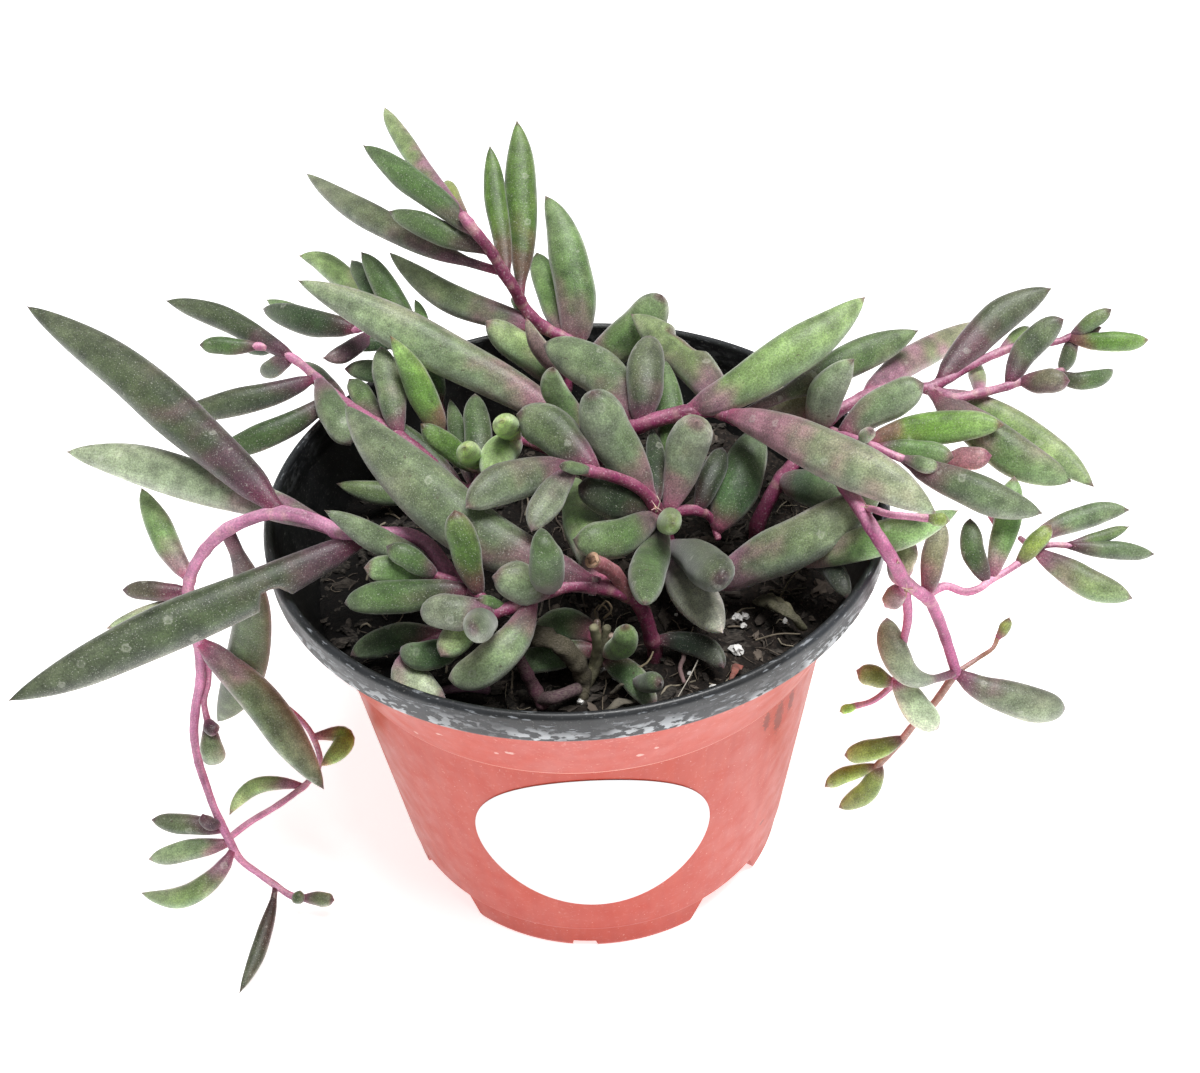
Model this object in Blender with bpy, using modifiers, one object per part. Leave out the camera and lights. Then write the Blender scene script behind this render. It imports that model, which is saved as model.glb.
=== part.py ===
# A trailing string of pickles plant in a round thermoformed nursery pot.
# Units are metres, +Z is up. The pot and plant are laid out round the pot's axis, on the table at
# height 0, and then moved together so that the origin is the bottom centre of the whole object.

import math

import bmesh
import bpy
import numpy as np
from mathutils import Matrix, Vector

mm = 0.001

# Pot: a common four-inch round pot, checked against its outline in the photograph
rimRadius = 52.5 * mm
potHeight = 80.5 * mm
lipWidth = 1.6 * mm
skirtDrop = 5.5 * mm
collarDrop = 21.9 * mm
collarRadius = 44.2 * mm
collarStep = 1.0 * mm
wallThickness = 0.9 * mm
ledgeHeight = 6.5 * mm
ledgeRadius = 38.7 * mm
footRadius = 37.6 * mm
footWidth = 1.6 * mm
potSteps = 48

# Feet: four of them, with slanting gaps between and a small notch in the middle of each
footTurn = math.radians(-94.5)
footCount = 4
gapHalfBottom = math.radians(14.5)
gapHalfTop = math.radians(9.5)
notchWidth = 5.2 * mm
notchHeight = 1.8 * mm
drainRadius = 3.5 * mm
drainReach = 30 * mm

# Rim: a solid lip with rounded edges
lipFlare = 0.5 * mm
rimRound = 0.6 * mm
lipRound = 0.5 * mm

# Soil and round sticker
soilTop = 66 * mm
soilRelief = 0.3 * mm
soilSag = 0.8 * mm
soilRings = 5
soilSteps = 28
clearance = 0.3 * mm
stickerRadius = 19.9 * mm
stickerHeight = 36.3 * mm
stickerThickness = 0.25 * mm

# Where the photograph was taken from: focal length and middle in pixels, then the view's pivot and turn
viewFocal = 1300.0
viewMiddle = (600.0, 536.5)
viewPivot = np.array([3.7, 0.0, 68.5])
viewDistance = 228.3
viewPitch = math.radians(40.51)
viewRoll = math.radians(-2.93)

# Leaves: how thick they are for their width, and how thick their stalk is
leafThickness = 0.74
stalkShare = 0.2

# Stems: how deep they stand in the soil, how far they rise straight out of it, length of one facet
rootDepth = 8.0
rootRise = 2.5
stemSpacing = 5.0


def viewAxes():
    # The camera's place and its forward, right and up directions
    back = np.array([0.0, -math.cos(viewPitch), math.sin(viewPitch)])
    right = np.array([1.0, 0.0, 0.0])
    up = np.cross(right, -back)
    rolledRight = math.cos(viewRoll) * right + math.sin(viewRoll) * up
    rolledUp = math.cos(viewRoll) * up - math.sin(viewRoll) * right
    return viewPivot + viewDistance * back, -back, rolledRight, rolledUp


viewPlace, viewForward, viewRight, viewUp = viewAxes()


def sightLine(spots):
    # For picture spots (column, row): how far a point on each sight line moves for 1 mm of height
    spots = np.atleast_2d(np.asarray(spots, float))
    columns = (spots[:, 0] - viewMiddle[0]) / viewFocal
    rows = (spots[:, 1] - viewMiddle[1]) / viewFocal
    rays = viewForward + columns[:, None] * viewRight - rows[:, None] * viewUp
    return rays / rays[:, 2:3]


def sightPoint(spots, heights):
    # The points in millimetres that stand at these heights behind these picture spots
    heights = np.atleast_1d(np.asarray(heights, float))
    return viewPlace + sightLine(spots) * (heights[:, None] - viewPlace[2])


# The plant's layout. Spots are (column, row) in the photograph's 1200 x 1073 pixels.
# Heights above the table, widths and diameters are millimetres.

def leaf(foot, tip, width, footHeight, tipHeight, through=None, arch=0.0, neck=0.0, belly=0.55,
         taper=0.8):
    middle = through or ((foot[0] + tip[0]) / 2, (foot[1] + tip[1]) / 2)
    return dict(foot=foot, tip=tip, middle=middle, width=width, footHeight=footHeight,
                tipHeight=tipHeight, arch=arch, neck=neck, belly=belly, taper=taper)


def stem(points, footDiameter, tipDiameter, rooted=False):
    # Points are (column, row, height); a rooted stem starts where it leaves the soil
    return dict(points=points, footDiameter=footDiameter, tipDiameter=tipDiameter, rooted=rooted)


# Stem that climbs at the back, with tall leaves
backStems = [
    stem([(560, 440, 66), (563, 400, 76), (570, 366, 83), (575, 344, 87), (560, 336, 88.5),
          (545, 328, 90), (533, 318, 92), (524, 307, 94), (519, 298, 96), (512, 285, 99),
          (503, 272, 101.5), (490, 250, 106), (478, 235, 109), (463, 216, 112)], 2.8, 1.9, rooted=True),
]
backLeaves = [
    leaf((478, 235), (364, 146), 5.0, 109, 118, through=(418, 186)),
    leaf((463, 216), (385, 108), 3.6, 112, 119, through=(411, 152)),
    leaf((461, 212), (446, 181), 2.7, 111, 111, belly=0.6),
    leaf((503, 272), (307, 174), 5.2, 101, 107, through=(398, 232), neck=0.2),
    leaf((492, 253), (390, 212), 4.6, 105, 110, neck=0.1),
    leaf((521, 298), (517, 122), 6.0, 95, 119, through=(522, 205), neck=0.1),
    leaf((510, 278), (490, 147), 4.2, 99, 116, through=(497, 205)),
    leaf((538, 330), (390, 253), 5.6, 90, 97, through=(456, 300), belly=0.5),
    leaf((592, 352), (546, 197), 7.6, 84, 107, through=(572, 270), belly=0.4),
    leaf((566, 340), (537, 254), 5.4, 88, 97),
    leaf((530, 316), (513, 297), 2.5, 91, 93),
    leaf((566, 385), (487, 322), 6.0, 79, 93),
    leaf((565, 377), (526, 318), 3.6, 82, 97, through=(543, 352), belly=0.4),
    leaf((572, 380), (661, 296), 7.8, 78, 98, through=(625, 340), belly=0.62),
]

# Stems that leave over the back left of the rim
backLeftStems = [
    stem([(455, 500, 66), (443, 475, 76), (420, 452, 81), (400, 437, 83), (347, 404, 85),
          (320, 381, 86), (297, 361, 87.5), (272, 348, 88.5), (252, 346, 89)], 2.6, 1.4, rooted=True),
    stem([(443, 475, 76), (440, 420, 81), (430, 370, 85), (415, 342, 87), (385, 326, 88),
          (350, 330, 87.5), (325, 331, 87)], 2.3, 1.3),
    stem([(448, 482, 75), (470, 490, 77), (480, 478, 83), (482, 466, 86)], 2.2, 1.5),
]
backLeftLeaves = [
    leaf((372, 322), (300, 256), 5.0, 88, 92, through=(342, 276)),
    leaf((394, 324), (352, 261), 4.7, 88, 92),
    leaf((420, 338), (362, 253), 4.9, 87, 97),
    leaf((430, 345), (415, 300), 2.4, 87, 90),
    leaf((360, 345), (264, 309), 5.4, 86, 88, through=(312, 322)),
    leaf((330, 330), (267, 300), 3.4, 87, 85),
    leaf((296, 361), (167, 301), 4.6, 87, 94, through=(230, 322)),
    leaf((254, 347), (201, 345), 3.4, 89, 90),
    leaf((275, 349), (247, 350), 2.3, 88, 86),
    leaf((316, 379), (172, 414), 5.0, 86, 84, through=(245, 401)),
    leaf((330, 402), (215, 450), 4.8, 84, 81, through=(270, 434)),
    leaf((318, 381), (350, 444), 5.6, 86, 82, belly=0.6),
    leaf((290, 358), (262, 374), 3.6, 87, 83),
    leaf((345, 402), (303, 362), 3.6, 84, 83),
    leaf((382, 330), (324, 358), 3.4, 89, 91, through=(350, 350)),
    leaf((431, 374), (346, 369), 4.2, 85, 87, neck=0.3),
    leaf((415, 342), (347, 346), 2.7, 87, 88, neck=0.2),
    leaf((400, 437), (381, 348), 5.2, 82, 93),
    leaf((383, 425), (350, 380), 4.2, 84, 87),
    leaf((442, 440), (391, 337), 5.2, 79, 99, through=(420, 388), belly=0.45),
    leaf((462, 488), (380, 418), 5.0, 77, 85),
    leaf((452, 496), (338, 484), 4.4, 70, 73, through=(396, 494)),
    leaf((481, 474), (422, 425), 3.9, 85, 95),
    leaf((482, 470), (464, 447), 3.9, 86, 99, neck=0.2, belly=0.66),
    leaf((480, 480), (475, 395), 4.8, 83, 89),
    leaf((472, 488), (450, 400), 3.6, 79, 85),
    leaf((437, 410), (432, 352), 3.8, 82, 88),
]

# Stem that arches over the left of the rim and hangs to the table
leftStems = [
    stem([(474, 602, 66), (462, 590, 73), (452, 578, 78), (440, 560, 81), (425, 543, 83),
          (400, 534, 84.5), (345, 535, 86.5), (325, 525, 87.5), (300, 516, 88), (275, 513, 88),
          (250, 519, 87), (225, 531, 85), (205, 550, 81), (193, 570, 76), (188, 592, 71),
          (193, 620, 63), (199, 650, 56), (200, 680, 49), (196, 705, 43.5), (194, 733, 38),
          (198, 760, 32), (206, 785, 27.5), (215, 810, 23), (230, 842, 17), (241, 860, 13),
          (258, 873, 10), (275, 885, 8), (292, 896, 6.5), (308, 898, 6.5)], 2.7, 1.2, rooted=True),
    stem([(198, 647, 56.5), (207, 662, 52), (208, 682, 47.5), (204, 702, 44), (209, 727, 40)], 1.3, 1.1),
    stem([(229, 838, 17.5), (250, 822, 19.5), (275, 807, 21.5), (295, 793, 23), (309, 781, 24.5),
          (320, 762, 27.5), (314, 739, 32), (303, 722, 35.5), (284, 705, 39)], 1.3, 1.0),
]
leftLeaves = [
    leaf((280, 513), (28, 307), 8.0, 88, 108, through=(156, 397), belly=0.48, taper=1.0),
    leaf((345, 535), (68, 452), 7.2, 85.5, 89, through=(195, 480), arch=-1, neck=0.1, taper=1.0),
    leaf((193, 580), (142, 489), 4.5, 74, 80, through=(164, 537)),
    leaf((375, 538), (10, 700), 7.5, 86, 79, through=(190, 619), belly=0.56, taper=1.0),
    leaf((188, 592), (124, 590), 3.4, 71, 72),
    leaf((189, 600), (108, 628), 3.0, 69, 68),
    leaf((203, 640), (323, 788), 6.6, 60, 36, through=(259, 700), belly=0.62),
    leaf((230, 533), (218, 721), 7.6, 83, 31, through=(252, 632), neck=0.12, belly=0.66),
    leaf((210, 733), (214, 761), 4.2, 39, 34, belly=0.66),
    leaf((206, 722), (216, 733), 2.6, 42, 41),
    leaf((223, 829), (153, 820), 3.8, 18, 21),
    leaf((228, 842), (150, 859), 4.0, 17, 15),
    leaf((229, 848), (142, 893), 4.2, 15.5, 8, through=(195, 892)),
    leaf((214, 831), (203, 815), 2.5, 22, 25, belly=0.4),
    leaf((313, 736), (322, 765), 3.9, 33, 31, through=(345, 738), belly=0.6),
    leaf((302, 786), (230, 814), 3.2, 24.5, 21, through=(258, 786)),
    leaf((276, 886), (240, 992), 3.0, 8, 3, through=(264, 935), neck=0.15),
    leaf((292, 897), (304, 898), 2.5, 6.5, 6.5),
    leaf((307, 898), (333, 900), 2.8, 6.5, 7),
    leaf((460, 582), (326, 511), 4.3, 79, 92, through=(388, 545)),
]

# Stem in front, to the left, with a cluster of plump leaves at its end
frontStems = [
    stem([(655, 655, 66), (652, 640, 70), (645, 616, 75.5), (632, 598, 80), (600, 587, 83),
          (570, 586, 84), (545, 593, 84), (520, 604, 84), (500, 611, 84), (487, 617, 83)],
         2.8, 1.6, rooted=True),
    stem([(627, 596, 80.5), (621, 583, 83), (612, 571, 86), (592, 560, 90)], 2.4, 2.3),
    stem([(498, 610, 84), (480, 596, 85), (455, 581, 85), (427, 573, 85.5)], 1.5, 1.1),
    stem([(492, 616, 82.5), (470, 628, 77), (450, 635, 74), (425, 645, 73), (404, 654, 72.5)], 1.9, 1.7),
]
frontLeaves = [
    leaf((600, 588), (346, 406), 9.4, 81, 99, through=(459, 519), belly=0.6),
    leaf((438, 574), (388, 547), 3.6, 85.5, 90),
    leaf((430, 573), (366, 568), 4.3, 85.5, 87),
    leaf((470, 590), (346, 603), 5.2, 84, 82, through=(400, 596)),
    leaf((442, 621), (352, 655), 4.6, 73.5, 70),
    leaf((492, 612), (422, 612), 5.4, 84, 84),
    leaf((496, 614), (442, 655), 4.9, 83.5, 80, through=(465, 630)),
    leaf((492, 618), (473, 629), 4.7, 84, 94, belly=0.66),
    leaf((532, 600), (450, 678), 5.8, 83.5, 77, through=(500, 655), belly=0.58),
    leaf((468, 630), (402, 648), 4.6, 78, 75, through=(435, 655)),
    leaf((394, 655), (444, 699), 5.6, 73, 71.5, through=(412, 681), belly=0.5),
    leaf((505, 606), (478, 599), 1.8, 84.5, 87),
    leaf((551, 590), (494, 577), 6.2, 85, 89, belly=0.52),
    leaf((482, 597), (455, 512), 4.6, 85, 96, through=(465, 550)),
    leaf((603, 584), (572, 478), 7.0, 80, 80),
    leaf((550, 590), (541, 528), 5.2, 84, 97, belly=0.3),
    leaf((655, 640), (723, 667), 3.8, 69.5, 70, through=(697, 645)),
]

# Stem in the middle of the pot, bent over to the left, with leaves all along it
middleStems = [
    stem([(672, 575, 66), (669, 550, 72.5), (664, 527, 78.5), (656, 509, 84), (648, 496, 87),
          (630, 483, 90), (600, 473, 93), (565, 467, 95)], 3.0, 1.6, rooted=True),
    stem([(660, 518, 81), (680, 511, 81), (700, 511, 80), (712, 520, 77), (718, 538, 74.5)], 2.2, 1.1),
    stem([(580, 469, 93.5), (555, 455, 91), (532, 445, 88.5), (516, 438, 86)], 1.3, 1.1),
    stem([(671, 566, 70), (690, 580, 70.5), (730, 585, 71), (790, 562, 73), (815, 560, 71)], 1.8, 1.3),
]
middleLeaves = [
    leaf((597, 470), (518, 415), 7.2, 92, 98, through=(553, 432)),
    leaf((515, 438), (502, 420), 4.1, 87, 103, belly=0.66),
    leaf((514, 436), (487, 447), 2.2, 88, 91),
    leaf((520, 440), (490, 477), 5.6, 88, 94, through=(502, 452), belly=0.6),
    leaf((568, 467), (467, 507), 6.4, 95, 95, through=(513, 480)),
    leaf((572, 468), (532, 530), 4.8, 95.5, 93, through=(549, 498)),
    leaf((592, 470), (560, 466), 2.0, 94.5, 98),
    leaf((654, 500), (592, 393), 7.6, 86.5, 103, through=(614, 440), belly=0.6),
    leaf((668, 512), (697, 422), 6.9, 83, 97, through=(685, 457), belly=0.66),
    leaf((658, 515), (575, 540), 6.1, 83, 88, through=(618, 537), belly=0.6),
    leaf((662, 520), (673, 523), 4.2, 81, 94, belly=0.66),
    leaf((663, 526), (645, 604), 5.8, 80, 87, through=(650, 565)),
    leaf((672, 546), (722, 578), 6.6, 74, 89, through=(698, 560), belly=0.72),
    leaf((669, 560), (722, 632), 6.8, 72, 76, through=(692, 592), belly=0.55),
    leaf((655, 513), (580, 486), 6.4, 82, 90),
    leaf((672, 515), (664, 359), 5.0, 78, 93, through=(672, 430)),
    leaf((659, 505), (652, 430), 3.4, 84, 88),
    leaf((720, 542), (757, 430), 7.2, 74, 86, through=(737, 488)),
    leaf((698, 511), (722, 449), 4.2, 79.5, 85),
    leaf((712, 590), (880, 495), 8.0, 72, 87, through=(790, 545), belly=0.5),
    leaf((790, 560), (957, 511), 5.4, 74, 87, through=(875, 541), arch=2),
    leaf((815, 560), (847, 598), 3.6, 71, 70, through=(833, 571)),
]

# Stem that runs out over the right of the rim and hangs in several branches
rightStems = [
    stem([(598, 484, 66), (595, 460, 75), (603, 441, 83), (638, 426, 89), (670, 416, 91),
          (700, 411, 92), (725, 413, 92), (780, 440, 90.5), (830, 468, 89.5), (845, 487, 89),
          (858, 505, 90), (870, 525, 90.5), (885, 548, 88), (897, 568, 82), (905, 582, 77),
          (928, 599, 70), (935, 611, 65.5), (942, 628, 60), (950, 652, 54), (957, 675, 49)],
         2.9, 1.9, rooted=True),
    stem([(926, 596, 70), (945, 586, 70), (965, 592, 70), (980, 588, 70.5), (990, 580, 71),
          (1005, 572, 71.5), (1020, 562, 72), (1035, 550, 73), (1050, 545, 74), (1076, 546, 74)], 1.5, 0.9),
    stem([(904, 581, 77), (908, 615, 67), (904, 640, 60), (900, 665, 54), (896, 679, 51),
          (885, 692, 47.5), (870, 702, 44.5), (850, 707, 42.5)], 1.7, 1.0),
    stem([(956, 672, 49.5), (935, 702, 42.5), (915, 723, 37), (900, 742, 32), (886, 757, 28),
          (872, 771, 24.5)], 1.5, 1.2),
    stem([(957, 672, 49.5), (980, 657, 51), (993, 648, 53), (998, 637, 54.5), (1004, 628, 55.5)],
         0.9, 0.7),
    stem([(860, 508, 88), (872, 509, 93), (888, 514, 96), (905, 516, 97), (936, 519, 96)], 1.0, 1.1),
    stem([(1036, 551, 73), (1020, 538, 74.5)], 1.0, 0.9),
]
rightLeaves = [
    leaf((600, 446), (299, 281), 8.0, 82, 105, through=(452, 356), neck=0.06, belly=0.58),
    leaf((636, 427), (545, 345), 8.0, 88, 93, through=(603, 377)),
    leaf((603, 442), (553, 368), 4.5, 84, 99, through=(561, 402)),
    leaf((640, 425), (650, 337), 6.4, 89, 97),
    leaf((735, 415), (632, 315), 6.8, 90.5, 93, through=(688, 361)),
    leaf((728, 413), (935, 513), 7.6, 93, 92, through=(833, 455), arch=3),
    leaf((685, 413), (864, 298), 7.5, 92, 106, through=(778, 364)),
    leaf((738, 415), (917, 331), 6.0, 90, 95, through=(832, 370), arch=-2, neck=0.3),
    leaf((928, 596), (940, 520), 4.0, 70, 80),
    leaf((903, 583), (915, 546), 4.3, 75, 81, through=(900, 566)),
    leaf((905, 586), (886, 606), 3.4, 74, 70),
    leaf((987, 582), (970, 520), 3.8, 71, 78, through=(974, 553)),
    leaf((990, 580), (1014, 478), 4.4, 71, 83, through=(1006, 524)),
    leaf((1018, 564), (1050, 526), 3.1, 72, 77),
    leaf((1022, 541), (1128, 510), 4.0, 74.5, 77, through=(1080, 518)),
    leaf((1074, 546), (1128, 527), 2.1, 74, 76),
    leaf((1074, 547), (1153, 554), 3.1, 74, 73),
    leaf((1036, 551), (1131, 598), 4.9, 73, 70, through=(1083, 580)),
    leaf((855, 706), (841, 711), 1.7, 43, 42),
    leaf((893, 683), (858, 671), 3.8, 50, 51, belly=0.6),
    leaf((897, 677), (937, 728), 5.2, 51, 42, through=(912, 702), belly=0.64),
    leaf((956, 674), (887, 619), 4.9, 49.5, 61, through=(908, 673), neck=0.25, belly=0.70),
    leaf((956, 674), (1064, 708), 6.3, 49.5, 44, through=(1004, 697), belly=0.72),
    leaf((903, 739), (846, 755), 4.0, 32.5, 29, through=(872, 750)),
    leaf((875, 768), (826, 786), 3.0, 25.5, 21, through=(848, 774)),
    leaf((880, 763), (840, 807), 4.0, 26, 15, through=(868, 789)),
    leaf((1001, 637), (1009, 618), 2.0, 54, 58, belly=0.5),
    leaf((929, 518), (949, 521), 2.0, 96.3, 96),
]

# Stem that leaves over the right back of the rim and forks
rightBackStems = [
    stem([(757, 535, 66), (768, 502, 73), (780, 481, 77), (795, 462, 80), (815, 436, 83),
          (832, 416, 85.5), (850, 404, 87), (868, 395, 88), (885, 389, 88.5), (905, 386, 89),
          (925, 388, 89), (942, 382, 89.5), (970, 366, 90.5), (1000, 352, 91.5), (1020, 346, 92.5),
          (1055, 342, 93), (1072, 336, 93.5), (1090, 330, 94)], 3.0, 1.1, rooted=True),
    stem([(928, 388, 89), (940, 393, 89), (955, 398, 89.5), (980, 393, 90), (1005, 387, 90),
          (1025, 380, 90.5), (1062, 371, 91)], 1.8, 1.2),
    stem([(822, 428, 84), (848, 437, 85), (875, 447, 85), (905, 459, 84), (940, 462, 82),
          (960, 472, 80.5), (977, 492, 78), (990, 515, 75.5), (1000, 532, 74)], 1.7, 0.9),
]
rightBackLeaves = [
    leaf((938, 384), (1050, 289), 6.1, 89.5, 100, through=(990, 326)),
    leaf((1000, 352), (1028, 327), 2.5, 91, 92),
    leaf((863, 397), (985, 322), 5.3, 87.5, 87, through=(915, 358)),
    leaf((1010, 386), (1062, 320), 4.8, 90, 99, through=(1030, 346)),
    leaf((1068, 338), (1147, 340), 3.5, 93.5, 94, through=(1110, 342)),
    leaf((1070, 336), (1110, 310), 2.8, 94, 98),
    leaf((1082, 332), (1100, 328), 1.9, 94, 95),
    leaf((1076, 335), (1062, 372), 2.8, 93, 88),
    leaf((1020, 382), (1068, 381), 4.2, 90.5, 93),
    leaf((1056, 373), (1112, 370), 3.2, 91, 91, through=(1085, 381)),
    leaf((980, 392), (975, 362), 3.0, 89.5, 86),
    leaf((950, 396), (978, 414), 3.2, 89, 86),
    leaf((866, 443), (1002, 425), 5.6, 85, 88, through=(932, 428)),
    leaf((925, 388), (1093, 486), 6.0, 88.5, 84, through=(1010, 425), neck=0.12),
    leaf((932, 392), (1070, 481), 7.0, 87.5, 80, through=(1000, 446)),
    leaf((840, 434), (922, 384), 6.2, 85, 93, through=(882, 406)),
    leaf((860, 442), (872, 430), 2.4, 86, 90),
    leaf((876, 447), (952, 457), 4.5, 84.5, 85),
    leaf((905, 460), (938, 468), 2.6, 83.5, 85),
    leaf((903, 458), (1041, 513), 5.9, 83, 80, through=(975, 492)),
    leaf((938, 463), (970, 492), 2.8, 81.5, 82),
    leaf((940, 462), (990, 456), 4.0, 82, 85),
    leaf((816, 432), (853, 360), 6.2, 84, 99, through=(828, 392), belly=0.42),
    leaf((834, 420), (757, 395), 6.0, 84, 87),
    leaf((781, 479), (850, 500), 6.6, 77, 84),
]

# Young shoots in the soil in front
shootStems = [
    stem([(600, 668, 66), (600, 655, 70.5), (598, 640, 73), (597, 622, 76)], 1.8, 1.2, rooted=True),
    stem([(600, 655, 70.5), (606, 646, 73), (612, 636, 76)], 1.3, 1.1),
]
shootLeaves = [
    leaf((598, 638), (535, 638), 5.4, 73, 71, through=(568, 625)),
    leaf((599, 652), (518, 668), 4.6, 71, 69.5, through=(555, 655)),
    leaf((608, 660), (625, 626), 4.0, 71, 83, through=(622, 645)),
    leaf((601, 655), (654, 706), 4.2, 70.5, 69.5, through=(628, 674)),
    leaf((634, 682), (660, 683), 3.2, 70, 76, belly=0.66),
]

plants = {
    "stem_back": (backStems, backLeaves),
    "stem_back_left": (backLeftStems, backLeftLeaves),
    "stem_left_arch": (leftStems, leftLeaves),
    "stem_front": (frontStems, frontLeaves),
    "stem_middle": (middleStems, middleLeaves),
    "stem_right": (rightStems, rightLeaves),
    "stem_right_back": (rightBackStems, rightBackLeaves),
    "stem_young_shoots": (shootStems, shootLeaves),
}


# How each leaf finds its seat on its stem: spacing and ends in millimetres, reach in pixels
seatSpacing = 0.7
seatAboveRoot = 9.8
seatBeforeEnd = 1.4
seatReach = 24.0
seatHeightWeight = 1.5

# How the leaves find room: beads along each leaf are pushed apart along their sight lines
beadShares = np.linspace(0.1, 0.97, 9)
settleRounds = 220
settleGap = 0.7
sameStemOverlap = 0.5
gatherShare = 0.3
settleReach = 20.0
tipLimit = 16.0
middleLimit = 7.0
tipStep = 0.35
middleStep = 0.25
flatLean = 0.15
soilReach = 46.0
soilGap = 1.0
tableGap = 0.8


def leafHalfWidth(row, shares):
    # A spindle: a thin stalk, a round body that is widest at the belly, and a pointed tip
    body = np.clip((shares - row["neck"]) / (1 - row["neck"]), 0, 1)
    power = math.log(0.5) / math.log(row["belly"])
    spindle = np.sin(math.pi * body ** power).clip(0, 1) ** row["taper"]
    stalk = stalkShare * (1 - shares) ** 2
    return row["width"] / 2 * np.maximum(spindle, stalk)


def leafSpots(row, shares):
    # The midrib in the picture: a curve from foot to tip that passes the middle spot
    foot, middle, tip = (np.array(row[key], float) for key in ("foot", "middle", "tip"))
    bend = 2 * middle - (foot + tip) / 2
    s = shares[:, None]
    return (1 - s) ** 2 * foot + 2 * s * (1 - s) * bend + s ** 2 * tip


def leafHeights(row, shares):
    rise = (row["tipHeight"] + row.get("tipLift", 0.0) - row["footHeight"]) * shares
    arch = (row["arch"] + row.get("middleLift", 0.0)) * 4 * shares * (1 - shares)
    return row["footHeight"] + rise + arch


def leafMidrib(row, shares):
    return sightPoint(leafSpots(row, shares), leafHeights(row, shares))


def smoothPath(points, spacing):
    # A smooth curve through the points, read off at even steps of about the spacing
    points = np.asarray(points, float)
    padded = np.vstack([2 * points[0] - points[1], points, 2 * points[-1] - points[-2]])
    dense = []
    for a, b, c, d in zip(padded[:-3], padded[1:-2], padded[2:-1], padded[3:]):
        for t in np.linspace(0, 1, 8, endpoint=False):
            dense.append(0.5 * (2 * b + (c - a) * t + (2 * a - 5 * b + 4 * c - d) * t ** 2
                                + (3 * b - a - 3 * c + d) * t ** 3))
    dense = np.array(dense + [points[-1]])
    walked = np.concatenate([[0], np.cumsum(np.linalg.norm(np.diff(dense, axis=0), axis=1))])
    steps = max(2, round(walked[-1] / spacing))
    even = np.linspace(0, walked[-1], steps + 1)
    return np.stack([np.interp(even, walked, dense[:, axis]) for axis in range(3)], axis=-1)


def stemPath(row, spacing):
    points = np.array(row["points"], float)
    path = sightPoint(points[:, :2], points[:, 2])
    if not row["rooted"]:
        return smoothPath(path, spacing)
    root = path[0]
    upright = [root - [0, 0, rootDepth], root - [0, 0, rootDepth / 2], root, root + [0, 0, rootRise]]
    return smoothPath(np.vstack([upright, path[1:]]), spacing)


def stemRadii(row, count):
    return np.linspace(row["footDiameter"] / 2, row["tipDiameter"] / 2, count)


def pictureSpots(places):
    # Where points in millimetres stand in the photograph
    offset = places - viewPlace
    depth = offset @ viewForward
    return np.stack([viewMiddle[0] + viewFocal * (offset @ viewRight) / depth,
                     viewMiddle[1] - viewFocal * (offset @ viewUp) / depth], axis=-1)


def seatLeaves(families):
    # Sets each leaf's foot in the middle of its own stem, where that runs closest to it
    for stems, leaves in families.values():
        parts = []
        for row in stems:
            first = round(seatAboveRoot / seatSpacing) if row["rooted"] else 0
            parts.append(stemPath(row, seatSpacing)[first:-round(seatBeforeEnd / seatSpacing)])
        places = np.vstack(parts)
        spots = pictureSpots(places)
        for row in leaves:
            away = np.linalg.norm(spots - row["foot"], axis=1)
            away += seatHeightWeight * abs(places[:, 2] - row["footHeight"])
            nearest = away.argmin()
            if away[nearest] < seatReach:
                row["foot"] = tuple(spots[nearest])
                row["footHeight"] = float(places[nearest, 2])


def potShape():
    # The turned pot's half section as (radius, height): floor, inside, rim, skirt, outside, foot
    wallSlope = (collarRadius - ledgeRadius) / (potHeight - collarDrop - ledgeHeight)
    collarHeight = potHeight - collarDrop
    lipInside = rimRadius - lipWidth
    floorTop = ledgeHeight + wallThickness
    inside = ledgeRadius - wallThickness + wallSlope * wallThickness
    skirtBottom = potHeight - skirtDrop
    upperCollar = lipInside - lipFlare
    return [
        (0, floorTop),
        (inside, floorTop),
        (collarRadius - wallThickness, collarHeight + 0.2 * mm),
        (collarRadius + collarStep - wallThickness, collarHeight + 1.2 * mm),
        (upperCollar, skirtBottom),
        (lipInside, potHeight - lipRound),
        (lipInside + lipRound, potHeight),
        (rimRadius - rimRound, potHeight),
        (rimRadius, potHeight - rimRound),
        (rimRadius, skirtBottom + lipRound),
        (rimRadius - lipRound, skirtBottom),
        (upperCollar + wallThickness, skirtBottom),
        (collarRadius + collarStep, collarHeight + 0.8 * mm),
        (collarRadius, collarHeight),
        (ledgeRadius, ledgeHeight + 0.4 * mm),
        (ledgeRadius - 0.5 * mm, ledgeHeight - 0.2 * mm),
        (footRadius + 0.3 * mm, 1 * mm),
        (footRadius, 0),
        (footRadius - footWidth, 0),
        (footRadius - footWidth, ledgeHeight - wallThickness),
        (0, ledgeHeight - wallThickness),
    ]


def potWallMiddle():
    # The middle of the pot's wall in millimetres, with its half thickness, for the settling
    return [
        ((rimRadius - lipWidth / 2) / mm, potHeight / mm - 1.9, 1.9),
        ((rimRadius - lipWidth / 2) / mm, (potHeight - skirtDrop) / mm + 1.9, 1.9),
        (collarRadius / mm + 0.5, (potHeight - collarDrop) / mm + 1, 0.8),
        (ledgeRadius / mm - 0.4, ledgeHeight / mm, 0.6),
        (footRadius / mm - 0.8, 0.8, 0.8),
    ]


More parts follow.
